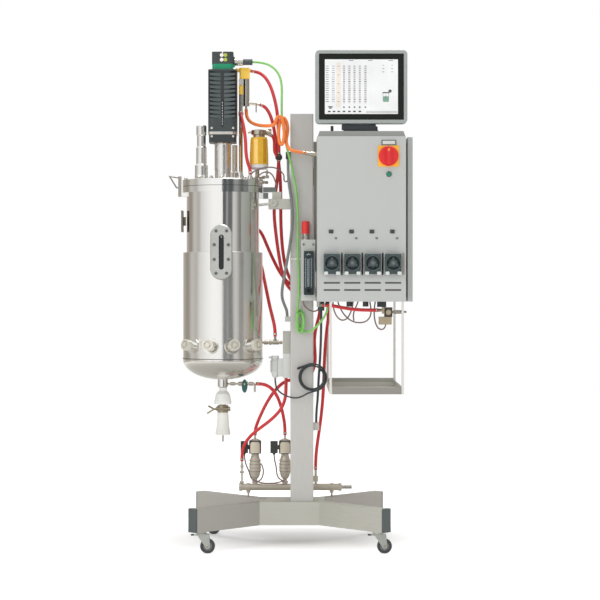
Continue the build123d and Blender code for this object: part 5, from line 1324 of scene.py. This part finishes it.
@dataclass
class FrontPanel:
    """What is fitted to the cabinet's door: rockers, marks, lamp lens, pump faces and the switch's ridge."""

    panel: float = -272.0
    rocker_z: float = 1082.0
    rocker_shift: float = -2.5
    key_pitch: float = 7.0
    mark_z: float = 1059.5
    scale_z: float = 1026.6
    vent_rows: tuple[float, float] = (910.0, 886.0)
    head_front: float = -294.0
    lamp_at: tuple[float, float] = (333.5, 1274.5)
    lens_radius: float = 7.2
    label_at: tuple[float, float] = (333.0, 1380.5)
    pump_shadow_at: tuple[float, float] = (382.5, 973.0)
    switch: tuple[float, float] = (332.0, 1335.0)
    grip: float = -299.3

    def build(self) -> None:
        """Make every piece on the door."""
        self.rockers()
        self.marks()
        self.lamp()
        self.pump_faces()
        self.switch_ridge()

    def rockers(self) -> None:
        """Two tilting keys in each rocker's frame, each a small wedge with a pale dash."""
        keys, dashes = [], []
        for x in PUMPS:
            for side in (-1, 1):
                middle = x + self.rocker_shift + side * self.key_pitch / 2
                keys.append(tile(middle, self.rocker_z, self.panel - 2.4, self.panel - 4.4, 6.2, 9.6, 0.8, 0.7))
                dashes.append(tile(middle, self.rocker_z + 1.6 * side, self.panel - 4.3, self.panel - 4.6,
                                   2.6, 1.1, 0.2))
        plastic = Finish("rocker_plastic", Surface.MOULDED, srgb(64, 67, 65), 0.36, slot="dark_plastic")
        piece("rocker_keys", keys, plastic)
        piece("rocker_dashes", dashes, MARK_GREY)

    def marks(self) -> None:
        """Small arrow mark beside each rocker and the faint scale marks above each pump."""
        arrows, faint = [], []
        for x in PUMPS:
            arrows.append(tile(x + 13.5, self.mark_z, self.panel - 1.4, self.panel - 1.9, 6.2, 4.6, 1.8, 0.2))
            for across in (4.5, 9.0, 15.5, 20.0):
                faint.append(tile(x + across, self.scale_z, self.panel + 0.05, self.panel - 0.12, 2.2, 3.6, 0.4, 0.05))
        piece("rocker_marks", arrows, MARK_GREY)
        piece("scale_marks", faint, Finish("printed_faint", Surface.MOULDED, srgb(172, 178, 178), 0.5))

    def lamp(self) -> None:
        """Domed lens and its ring: the lens's radius shrinks as a quarter circle while it rises 3 mm."""
        x, z = self.lamp_at
        turn = np.linspace(0, np.pi / 2, 9)
        dome = [(self.lens_radius * float(np.cos(a)), 0.5 + 3 * float(np.sin(a))) for a in turn]
        lens = turned(mm(x, self.panel - 5, z), [(0, 0), (self.lens_radius, 0)] + dome, Facing.FRONT, 28)
        piece("lamp_lens", [lens], GREEN_LENS)
        ring = turned(mm(x, self.panel - 0.1, z), band(8.1, 10.2, 0, 2.2, 0.6), Facing.FRONT, 36)
        piece("lamp_ring", [ring], FITTING)

    def pump_faces(self) -> None:
        """Tube guide round each well, cover screws, dark cards of painted shade behind the vents, the label and a strip
        of painted shadow beside the last pump.
        """
        guides, screws = [], []
        screw = [(0, 0), (1.9, 0), (1.9, 0.8), (1.2, 1.2), (0.9, 0.6), (0, 0.6)]
        for x in PUMPS:
            well = mm(x, self.head_front + 0.6, PUMP_HEIGHT)
            guides.append(turned(well, band(23.2, 25.6, 0, 2.2, 0.8), Facing.FRONT, 44))
            for side in (-1, 1):
                guides.append(tile(x + side * 21.5, PUMP_HEIGHT + 26.5, self.head_front + 0.2, self.head_front - 1.6,
                                   7, 5, 1.2, 0.6))
                head = mm(x + side * 23, self.head_front + 0.3, PUMP_HEIGHT + 30)
                screws.append(turned(head, screw, Facing.FRONT, 14))
        piece("pump_guides", guides, Finish("pump_trim", Surface.MOULDED, srgb(74, 90, 92), 0.34, slot="dark_plastic"))
        piece("pump_screws", screws, BLACK)
        # Painted shade: dark cards behind the vent slots stand in for the shaded inside of the cabinet.
        shade_cards = [tile(x, row, self.panel + 3.4, self.panel + 2.4, 58, 9, 3) for x in PUMPS for row in self.vent_rows]
        piece("vent_shade_cards", shade_cards, Finish("vent_shadow", Surface.PAINTED, srgb(94, 91, 86), 0.5))
        piece("label_card", [tile(*self.label_at, self.panel - 1.3, self.panel - 1.9, 42, 11, 0.8)],
              Finish("label_card", Surface.PAINTED, srgb(214, 217, 212), 0.45))
        # Painted shadow: the brownish strip beside the last pump head stands in for the shadow that the protruding head
        # casts on the panel.
        piece("pump_shadow_strip", [tile(*self.pump_shadow_at, self.panel + 0.2, self.panel - 1.2, 7, 74, 0.8, 0.4)],
              Finish("pump_shadow_paint", Surface.PAINTED, srgb(150, 147, 138), 0.4))

    def switch_ridge(self) -> None:
        """Orange pointer on the knob's grip and two grooves along it."""
        x, z = self.switch
        back = self.grip
        piece("switch_pointer", [tile(x, z + 20, back + 0.4, back - 0.5, 7, 9, 2.6, 0.4, 6)], AMBER_MARK, "switch_knob")
        grooves = [tile(x + side * 4.4, z - 5, back + 0.4, back - 0.45, 1.1, 34, 0.5, 0.3) for side in (-1, 1)]
        edge = Finish("switch_red_edge", Surface.MOULDED, srgb(186, 30, 36), 0.36)
        piece("switch_grooves", grooves, edge, "switch_knob")


@dataclass
class Screen:
    """The lit picture behind the monitor's glass: rows of generic marks, icons and a small vessel."""

    middle: tuple[float, float] = (242.0, 1570.5)
    width: float = 246.0
    height: float = 184.0
    glass: float = -249.0
    body: str = "monitor"
    columns: tuple[float, ...] = (0.115, 0.185, 0.262, 0.335, 0.405, 0.478, 0.555)
    rows: int = 17
    first_row: float = 0.125
    row_pitch: float = 0.0405

    def at(self, across: float, up: float) -> tuple[float, float]:
        """Place on the screen from shares of its width and height, measured from the top left; Returns X and Z."""
        left, top = self.middle[0] - self.width / 2, self.middle[1] + self.height / 2
        return left + across * self.width, top - up * self.height

    def mark(self, across: float, up: float, width: float, height: float, level: int = 1) -> Grid:
        """One flat mark; Args are its place in shares, its size in millimetres and its layer, Returns its grid."""
        x, z = self.at(across, up)
        back = self.glass - 0.25 - 0.1 * (level - 1)
        return tile(x, z, back, back - 0.15, width, height, 0.2, 0.04, 2)

    def build(self) -> None:
        """Lay the picture, the table of marks, the icons and the small vessel."""
        lit = Finish("screen_white", Surface.MOULDED, srgb(232, 233, 233), 0.3, glow=0.08, slot="screen")
        piece("screen_picture", [tile(*self.middle, self.glass + 0.1, self.glass - 0.25, self.width, self.height, 0.8)],
              lit, self.body)
        grey, dark = [], []
        for row in range(self.rows):
            up = self.first_row + row * self.row_pitch
            dark.append(self.mark(0.032, up, 11 - 3 * (row % 3 == 0), 1.7))
            for number, across in enumerate(self.columns):
                if number == 1 and row % 4:
                    continue
                (dark if row % 4 == 3 else grey).append(
                    self.mark(across, up, 7.4 + 1.8 * ((row * 3 + number) % 3 == 0), 1.9, 2))
        rules = [self.mark(across, 0.46, 5.6, 128, 1) for across in self.columns[2:]]
        piece("screen_rules", rules, Finish("screen_rule", Surface.MOULDED, srgb(216, 212, 214), 0.3), self.body)
        piece("screen_rows", grey, Finish("screen_grey", Surface.MOULDED, srgb(156, 155, 163), 0.3), self.body)
        for across in (0.39, 0.65, 0.93):
            dark.append(self.mark(across - 0.03, 0.022, 16, 1.8))
        for across in (0.8, 0.92):
            for step in range(3):
                dark.append(self.mark(across, 0.11 + step * 0.06, 7 if step else 4, 1.6))
        piece("screen_dark_rows", dark, Finish("screen_text", Surface.MOULDED, srgb(92, 94, 100), 0.3), self.body)
        piece("screen_column", [self.mark(0.185, 0.47, 15, 150, 1)],
              Finish("screen_peach", Surface.MOULDED, srgb(238, 229, 218), 0.3), self.body)
        piece("screen_strip", [self.mark(0.78, 0.965, 106, 8)],
              Finish("screen_strip_grey", Surface.MOULDED, srgb(206, 207, 204), 0.3), self.body)
        self.icons()
        self.little_vessel()

    def icons(self) -> None:
        """Bottom rows: a small flag under each column of numbers, a row of keys and two short bars."""
        icons = []
        for across in self.columns[2:]:
            x, z = self.at(across, 0.875)
            icons.append(turned(mm(x, self.glass - 0.2, z), [(0, 0), (4.2, 0), (4.2, 0.3), (0, 0.3)], Facing.FRONT, 3))
        for across in (0.06, 0.125, 0.19, 0.262, 0.335, 0.405, 0.478):
            icons.append(self.mark(across, 0.955, 8.4, 4.6, 2))
        icons.append(self.mark(0.075, 0.87, 16, 3.6, 2))
        icons.append(self.mark(0.075, 0.895, 8, 3.6, 2))
        piece("screen_icons", icons, Finish("screen_icon", Surface.MOULDED, srgb(66, 72, 76), 0.3), self.body)

    def little_vessel(self) -> None:
        """Small drawing of a vessel: pale glass, green fill, dark lid and a grey drive."""
        x, z = self.at(0.835, 0.69)
        back = self.glass - 0.25
        fill = [tile(x, z - 7, back, back - 0.2, 20, 19, 3, 0.05)]
        fill += [tile(x + side * 9.4, z + 3, back, back - 0.2, 1.2, 22, 0.4, 0.05) for side in (-1, 1)]
        piece("screen_vessel", fill, Finish("screen_green", Surface.MOULDED, srgb(128, 170, 148), 0.3), self.body)
        top = [tile(x, z + 14.5, back, back - 0.2, 23, 4, 1, 0.05),
               tile(x, z + 1, back, back - 0.3, 1.6, 12, 0.4, 0.05),
               turned(mm(x + 14, back, z + 20), [(0, 0), (5.4, 0), (5.4, 0.25), (0, 0.25)], Facing.FRONT, 24)]
        piece("screen_vessel_lid", top, Finish("screen_lid", Surface.MOULDED, srgb(84, 92, 90), 0.3), self.body)


@dataclass
class FlowMeter:
    """Scale, tube, float and trims of the gas flow meter, and the nut of the air valve over it."""

    x: float = 65.5
    face: float = -110.0
    tube_y: float = -104.0
    low: float = 903.0
    high: float = 990.0
    steps: int = 10
    valve: Point = (55.5, -85.0, 1064.0)

    def build(self) -> None:
        """Make the scale, the glass tube with its rails, seals and float, and the nut."""
        ticks = []
        for step in range(self.steps + 1):
            z = self.low + (self.high - self.low) * step / self.steps
            wide = 4.0 if step % 5 == 0 else 2.6
            for side in (-1, 1):
                ticks.append(tile(self.x + side * 11.2, z, self.face + 0.1, self.face - 0.2, wide, 0.9, 0.2, 0.05, 2))
        for side, up in ((-4.6, 1008), (0, 1010), (4.6, 1008)):
            ticks.append(tile(self.x + side, up, self.face + 0.1, self.face - 0.2, 2.6, 3.4, 0.4, 0.05, 2))
        piece("meter_scale", ticks, MARK_PALE)
        tube = [(0, 0), (5.4, 0), (5.9, 1), (5.9, 100), (5.4, 101), (0, 101)]
        piece("meter_tube", [turned(mm(self.x, self.tube_y, 896), tube)],
              Finish("meter_tube_glass", Surface.CLEAR, srgb(208, 220, 226), 0.08, clearness=0.75, slot="glass"))
        rails = [tile(self.x + side, 945, self.face + 0.1, self.face - 0.4, 2.4, 104, 0.8, 0.2) for side in (-9.2, 9.2)]
        piece("meter_rails", rails, Finish("meter_rail", Surface.MOULDED, srgb(150, 160, 166), 0.2))
        seal = [(0, 0), (6.6, 0), (6.6, 5), (5, 6), (0, 6)]
        ends = [turned(mm(self.x, self.tube_y, z), seal) for z in (891, 994)]
        piece("meter_seals", ends, BLACK)
        cone = [(0, 0), (1.4, 0), (3.6, 5), (3.6, 6.5), (0, 7.5)]
        piece("meter_float", [turned(mm(self.x, self.tube_y, 921), cone)], FITTING)
        nut = [(10.6, 0), (11.4, 0.8), (11.4, 8.4), (10.6, 9.2), (9, 9.2), (9, 0), (10.6, 0)]
        piece("air_valve_nut", [turned(mm(*self.valve), nut, Facing.UP, 6)], FITTING)


def hexagon(radius: float, height: float = 7.8) -> list:
    """Profile of a nut with softened edges; Args are its radius and height, and it Returns the pairs."""
    return [(0, 0), (radius - 0.6, 0), (radius, 0.8), (radius, height - 0.8), (radius - 0.6, height), (0, height)]


@dataclass
class Manifold:
    """Face plates, nuts and glands of the two steam valves, and the nuts under the hose ends."""

    places: tuple[float, float] = (-122.0, -16.0)
    y: float = 95.0
    cap_z: float = 354.0
    upper_z: float = 296.5
    lower_z: float = 200.5
    gland: Point = (-39.0, 21.0, 306.2)
    hose_ends: tuple[tuple[float, float], ...] = ((-169, 200), (-169, 236), (93, 214))
    plate_radii: tuple[float, float] = (21.3, 22.6)
    plate_spread: float = 49.0
    plate_points: int = 25

    def build(self) -> None:
        """Make the coils' face plates and caps, the valves' hexagons, the glands and the nuts."""
        plates = [self.face_plate(x) for x in self.places]
        beige = Finish("coil_face_beige", Surface.MOULDED, srgb(212, 202, 182), 0.4, slot="grey_plastic")
        piece("coil_faces", plates, beige)
        nuts, hexes = [], []
        for x in self.places:
            nuts.append(turned(mm(x, self.y, self.cap_z), [(0, 0), (12.5, 0), (12.5, 3), (9, 4.6), (0, 4.6)]))
            hexes.append(turned(mm(x, self.y, self.upper_z), hexagon(13.6), Facing.UP, 6))
            hexes.append(turned(mm(x, self.y, self.lower_z), hexagon(11, 8.8), Facing.UP, 6))
        piece("coil_nuts", nuts, FITTING)
        piece("valve_hexes", hexes, Finish("valve_bronze", Surface.SATIN, BRONZE, 0.3, slot="stainless"))
        across, behind, height = self.gland
        gland = [(0, -1), (5.2, -1), (5.2, 3), (4, 5), (2.6, 7), (0, 7)]
        glands = [spun(mm(x + across, self.y + behind, height), (0, 0, -1), gland, 16) for x in self.places]
        piece("plug_glands", glands, BLACK)
        ferrules = [turned(mm(x, self.y, low), hexagon(7), Facing.UP, 6) for x, low in self.hose_ends]
        piece("barb_nuts", ferrules, FITTING)

    def face_plate(self, x: float) -> Grid:
        """Curved plate on a coil's front.

        Points run round the coil's axis at two radii, over the plate's spread each way and less near the top;
        the section is closed by going out on the inner radius and back on the outer one.

        Args:
            x: the coil's middle in millimetres.

        Returns:
            Vertices and faces.
        """
        count = self.plate_points
        angle = np.radians(np.linspace(-self.plate_spread, self.plate_spread, count))
        out = np.repeat(self.plate_radii, count)
        turn = np.concatenate([angle, angle[::-1]])
        height = np.array([308.0, 308.6, 340.0, 346.6, 348.0])
        pinch = np.array([0.97, 1.0, 1.0, 1.0, 0.97])
        narrow = np.array([1.0, 1.0, 1.0, 0.76, 0.6])
        px = x + pinch[:, None] * out * np.sin(turn * narrow[:, None])
        py = self.y - pinch[:, None] * out * np.cos(turn * narrow[:, None])
        pz = np.repeat(height[:, None], 2 * count, axis=1)
        points = np.stack([px, py, pz], -1).reshape(-1, 3) / 1000
        faces = strip_faces(len(height), 2 * count)
        step, last = np.arange(count - 1), 2 * count - 1
        for base in (0, (len(height) - 1) * 2 * count):
            faces += (base + np.column_stack([step, step + 1, last - 1 - step, last - step])).tolist()
        return points, faces


@dataclass
class VesselTrim:
    """Small work on the vessel: seal, weld and seam lines, collars, port faces and a painted glint on the sight glass.
    """

    x: float = VESSEL_X
    y: float = -30.0
    seal_z: float = 1243.4
    weld_z: float = 1014.6
    seam_z: float = 647.6
    collar_heights: tuple[float, float] = (1268.0, 1392.0)
    glint_z: float = 1068.0
    port_height: float = 693.0
    port_angles: tuple[float, ...] = (-45, -15, 15, 45)
    port_tilt: float = 10.0
    shell_radius: float = 138.0
    port_length: float = 40.0

    def build(self) -> None:
        """Make the trims."""
        ring = turned(mm(self.x, self.y, self.seal_z), band(137.4, 139.2, 0, 2.4, 0.4), Facing.UP, 120)
        piece("lid_seal", [ring], BLACK)
        weld = turned(mm(self.x, self.y, self.weld_z), band(125.8, 127.6, 0, 2.6, 0.9), Facing.UP, 120)
        piece("jacket_weld", [weld], SATIN)
        lower, upper = self.collar_heights
        collars = [turned(mm(self.x, self.y, lower), band(28.6, 33.5, 0, 5, 1.2), Facing.UP, 60),
                   turned(mm(self.x, self.y, upper), band(28.8, 31.4, 0, 5.6, 0.8), Facing.UP, 60)]
        piece("housing_collars", collars, FITTING)
        rim = 1000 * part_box("jacket")[1][0] - self.x
        seam = turned(mm(self.x, self.y, self.seam_z), band(rim - 1.2, rim + 0.6, 0, 2.6, 0.5), Facing.UP, 120)
        piece("jacket_seam", [seam], Finish("seam_steel", Surface.BRUSHED, srgb(128, 126, 120), 0.36, slot="stainless"))
        self.port_faces()
        # Painted highlight: a small pale tile on the sight glass stands in for a glint on it.
        glint = tile(self.x, self.glint_z, -177.4, -177.8, 5, 9, 2.4, 0.1, 6)
        lens = Finish("sight_glass_glint_paint", Surface.MOULDED, srgb(150, 166, 172), 0.1, slot="glass")
        piece("sight_glass_glint", [glint], lens)

    def port_faces(self) -> None:
        """Recessed hexagon plug and rim ring in each port cap, set along the port's tilted line."""
        hexes, rims = [], []
        plug = [(0, 0), (5.4, 0), (6, 0.6), (6, 3.4), (5.4, 4), (0, 4)]
        rise = np.array([0, 0, np.tan(np.radians(self.port_tilt))])
        for angle in self.port_angles:
            turn = np.radians(angle)
            out = np.array([np.sin(turn), -np.cos(turn), 0])
            foot = np.array([self.x, self.y, self.port_height])
            end = foot + out * (self.shell_radius + self.port_length) + rise * self.port_length
            way = out + rise
            inwards = -way / np.linalg.norm(way)
            hexes.append(spun(tuple(end / 1000 + inwards * 0.004), tuple(way), plug, 6))
            rims.append(spun(tuple(end / 1000 + inwards * 0.001), tuple(way), band(13.6, 15.4, -1.6, 0.6), 36))
        steel = Finish("port_plug_steel", Surface.POLISHED, srgb(168, 160, 138), 0.26, slot="stainless")
        piece("port_hexes", hexes, steel)
        piece("port_rims", rims, FITTING)


@dataclass
class Drive:
    """Front ribs of the motor, and the plates that cover the monitor's foot, the post's side and the tray's rear."""

    middle: float = VESSEL_X
    face: float = -80.0
    top: float = 1650.0
    pitch: float = 14.5
    gap: float = 6.0
    count: int = 11
    rib_points: int = 15
    rib_ends: tuple[float, float] = (43.0, 6.0)
    rib_rise: float = 2.4
    rib_fall: float = 4.0
    foot_gap: float = 14.0
    foot_at: tuple[float, float] = (234.0, 1435.6)
    rail_at: Point = (88.0, -57.0, 1205.0)
    ledge_at: Point = (259.0, 228.4, 561.2)

    def build(self) -> None:
        """Make the ribs, the foot's cover, the rail beside the post and the tray's rear ledge."""
        self.ribs()
        low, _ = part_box("monitor_stand")
        x, z = self.foot_at
        front = mm(x, 1000 * low[1] + self.foot_gap, z)
        cover = slab(front, 116, 19.6, 2.2, plate_profile(8, 1.6, 9.8), Facing.FRONT, 5)
        dark = Finish("foot_cover", Surface.MOULDED, srgb(66, 72, 76), 0.36, slot="dark_plastic")
        piece("foot_cover", [cover], dark)
        rail = slab(mm(*self.rail_at), 9, 390, 1.2, plate_profile(8, 0.8, 4.5), Facing.FRONT, 4)
        brown = Finish("post_rail", Surface.PAINTED, srgb(128, 122, 112), 0.45, slot="frame_steel")
        piece("post_rail", [rail], brown)
        ledge = slab(mm(*self.ledge_at), 236, 14, 1, plate_profile(1.8, 0.5, 7), Facing.FRONT, 3)
        pale = Finish("tray_ledge", Surface.PAINTED, srgb(178, 178, 170), 0.4, slot="stainless")
        piece("tray_ledge", [ledge], pale)

    def ribs(self) -> None:
        """Low ribs on the flat front, a left and a right one between each pair of grooves.

        Along a rib the share runs from 0 at the outer end to 1 at the inner one: its thickness fades as one less
        the share squared, its half height grows by the share, and its middle falls by the rib's fall times the
        share less half its square.
        """
        count = self.rib_points
        share = np.linspace(0, 1, count)
        outer, inner = self.rib_ends
        ribs = []
        for step in range(self.count):
            top = self.top - 7 - self.gap - step * self.pitch
            reach = (self.pitch - self.gap) / 2 + (self.gap / 2 - 1.2) * share
            middle = top - (self.pitch - self.gap) / 2 - self.rib_fall * share * (1 - 0.5 * share)
            front = self.face - self.rib_rise * (1 - share ** 2) - 0.08
            for side in (-1, 1):
                along = self.middle + side * (outer - (outer - inner) * share)
                sunk = np.full(count, self.face + 0.5)
                rows = [np.column_stack([along, depth, middle + high * reach])
                        for high, depth in ((1, sunk), (0.85, front), (-0.85, front), (-1, sunk))]
                points = np.stack(rows if side < 0 else rows[::-1]).reshape(-1, 3) / 1000
                grid = np.arange(len(rows) * count).reshape(len(rows), count)
                below = np.roll(grid, -1, axis=0)
                faces = np.stack([grid[:, :-1], below[:, :-1], below[:, 1:], grid[:, 1:]], -1).reshape(-1, 4).tolist()
                faces += [grid[:, 0].tolist(), grid[::-1, -1].tolist()]
                ribs.append((points, faces))
        paint = Finish("motor_rib_paint", Surface.MOULDED, srgb(80, 89, 90), 0.4, slot="cast_motor")
        piece("motor_ribs", ribs, paint)


@dataclass
class Fittings:
    """The hose valve, the filter foot's branches, ties, the drive's slot, and the castors' nuts and pads."""

    drive_x: float = VESSEL_X
    valve: Point = (-37.6, 3.0, 1351.0)
    ball_radius: float = 12.6
    filter_x: float = -106.0
    filter_y: float = -38.0
    nut_reach: float = 13.1
    pad_shift: float = -51.0
    pad_height: float = 60.9
    strap_at: Point = (43.0, -30.0, 991.0)
    wrap_at: Point = (37.0, -92.5, 806.0)
    slot_front: float = -80.5
    dash_count: int = 9
    dash_pitch: float = 9.2

    def build(self) -> None:
        """Make the pieces."""
        self.junction()
        self.foot_branches()
        self.ties()
        self.drive_marks()
        self.castors()

    def junction(self) -> None:
        """Dark round valve where the two upper hoses meet: a ball body on a short tube."""
        bend = np.linspace(-np.pi / 2, np.pi / 2, 15)
        ball = [(float(self.ball_radius * np.cos(a)), float(self.ball_radius * np.sin(a))) for a in bend]
        grids = [turned(mm(*self.valve), ball, Facing.FRONT, 28),
                 turned(mm(*self.valve), [(0, 0), (5, 0), (5, 15), (4, 16), (0, 16)], Facing.FRONT, 20)]
        brown = Finish("hose_valve_brown", Surface.MOULDED, srgb(66, 58, 56), 0.4, slot="dark_plastic")
        piece("hose_valve", grids, brown)
        collars = [spun(mm(-37.4, -0.5, 1361), (0, 0.1, 1), band(5.1, 7, 0, 5), 20),
                   spun(mm(-38, 5.5, 1341), (0, -0.2, -1), band(5.1, 7, 0, 5), 20)]
        piece("hose_valve_collars", collars, FITTING)

    def foot_branches(self) -> None:
        """Small stainless branches with nuts on the inlet filter's foot."""
        x, y = self.filter_x, self.filter_y
        branch = [(0, 0), (3.6, 0), (3.6, 13), (6.6, 13), (6.6, 20), (4.2, 20), (4.2, 27), (5.8, 27), (5.8, 35),
                  (0, 35)]
        short = [(0, 0), (3.4, 0), (3.4, 12), (6.2, 12), (6.2, 19), (2.8, 19), (2.8, 26), (0, 26)]
        grids = [spun(mm(x, y, 1276), (1, -0.3, 0.1), branch, 6), spun(mm(x, y, 1267), (0.5, -1, 0), short, 6),
                 spun(mm(x, y, 1270), (-0.75, -0.8, 0.1), short, 6),
                 spun(mm(x + 26, y - 8, 1279), (0.1, -0.1, 1), short, 6),
                 spun(mm(x, y, 1262), (0.95, -0.6, -0.1), branch, 6)]
        piece("foot_branches", grids, FITTING)

    def ties(self) -> None:
        """White tie round the post and the grey cable, and the green hank's tie."""
        strap = slab(mm(*self.strap_at), 82.6, 82.6, 4.8, [(1.2, 0), (0, 0), (0, 5), (1.2, 5), (1.2, 0)], Facing.UP, 6)
        piece("post_tie", [strap], WHITE)
        head = tile(8, 993.5, -71.2, -76, 7, 6, 1.2, 0.6)
        piece("post_tie_head", [head], WHITE)
        wrap = slab(mm(*self.wrap_at), 29, 29, 6, [(1.6, 0), (0, 0.4), (0, 3.6), (1.6, 4), (1.6, 0)], Facing.UP, 6)
        piece("hank_tie", [wrap], Finish("green_tie", Surface.MOULDED, srgb(112, 168, 86), 0.4))

    def drive_marks(self) -> None:
        """Dark tile down the drive's front that paints the shade inside its slot, with pale dashes in it."""
        dashes = [tile(self.drive_x, 1460 + self.dash_pitch * step, -79, self.slot_front - 0.5, 1.7, 5.4, 0.4, 0.2, 2)
                  for step in range(self.dash_count)]
        # Painted shade: this glossy black tile, wider than the slot itself, stands in for the shade inside the slot.
        slot = tile(self.drive_x, 1497, -79.6, self.slot_front, 6.4, 96, 3, 0.3, 6)
        piece("drive_slot", [slot], GLOSS_BLACK)
        piece("drive_dashes", dashes, MARK_PALE)

    def castors(self) -> None:
        """Axle nuts on both cheeks and the lever pads, riding on each fork."""
        nut = [(0, -0.4), (5.4, -0.4), (5.8, 0.4), (5.8, 3), (5.2, 3.6), (0, 3.6)]
        for corner, (x, y) in CASTORS.items():
            nuts = [spun(mm(x, y + side * self.nut_reach, AXLE_HEIGHT), (0, side, 0), nut, 6) for side in (-1, 1)]
            piece(f"axle_nuts_{corner}", nuts, FITTING, f"fork_{corner}")
            place = mm(x + self.pad_shift, y, self.pad_height)
            pad = slab(place, 11, 17, 2, plate_profile(3.4, 1.0, 5.5), Facing.UP, 5)
            piece(f"brake_pad_{corner}", [pad], BLACK, f"fork_{corner}")


def main() -> None:
    """Build the scene in order: view, cords, finishes and detail pieces."""
    logging.basicConfig(level=logging.INFO, format="%(message)s")
    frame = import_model()
    Studio().build()
    Hoses().build()
    dress(frame)
    for part in (FrontPanel(), Screen(), FlowMeter(), Manifold(), VesselTrim(), Drive(), Fittings()):
        part.build()
        LOG.info("assembly %s done", type(part).__name__)


if __name__ == "__main__":
    main()
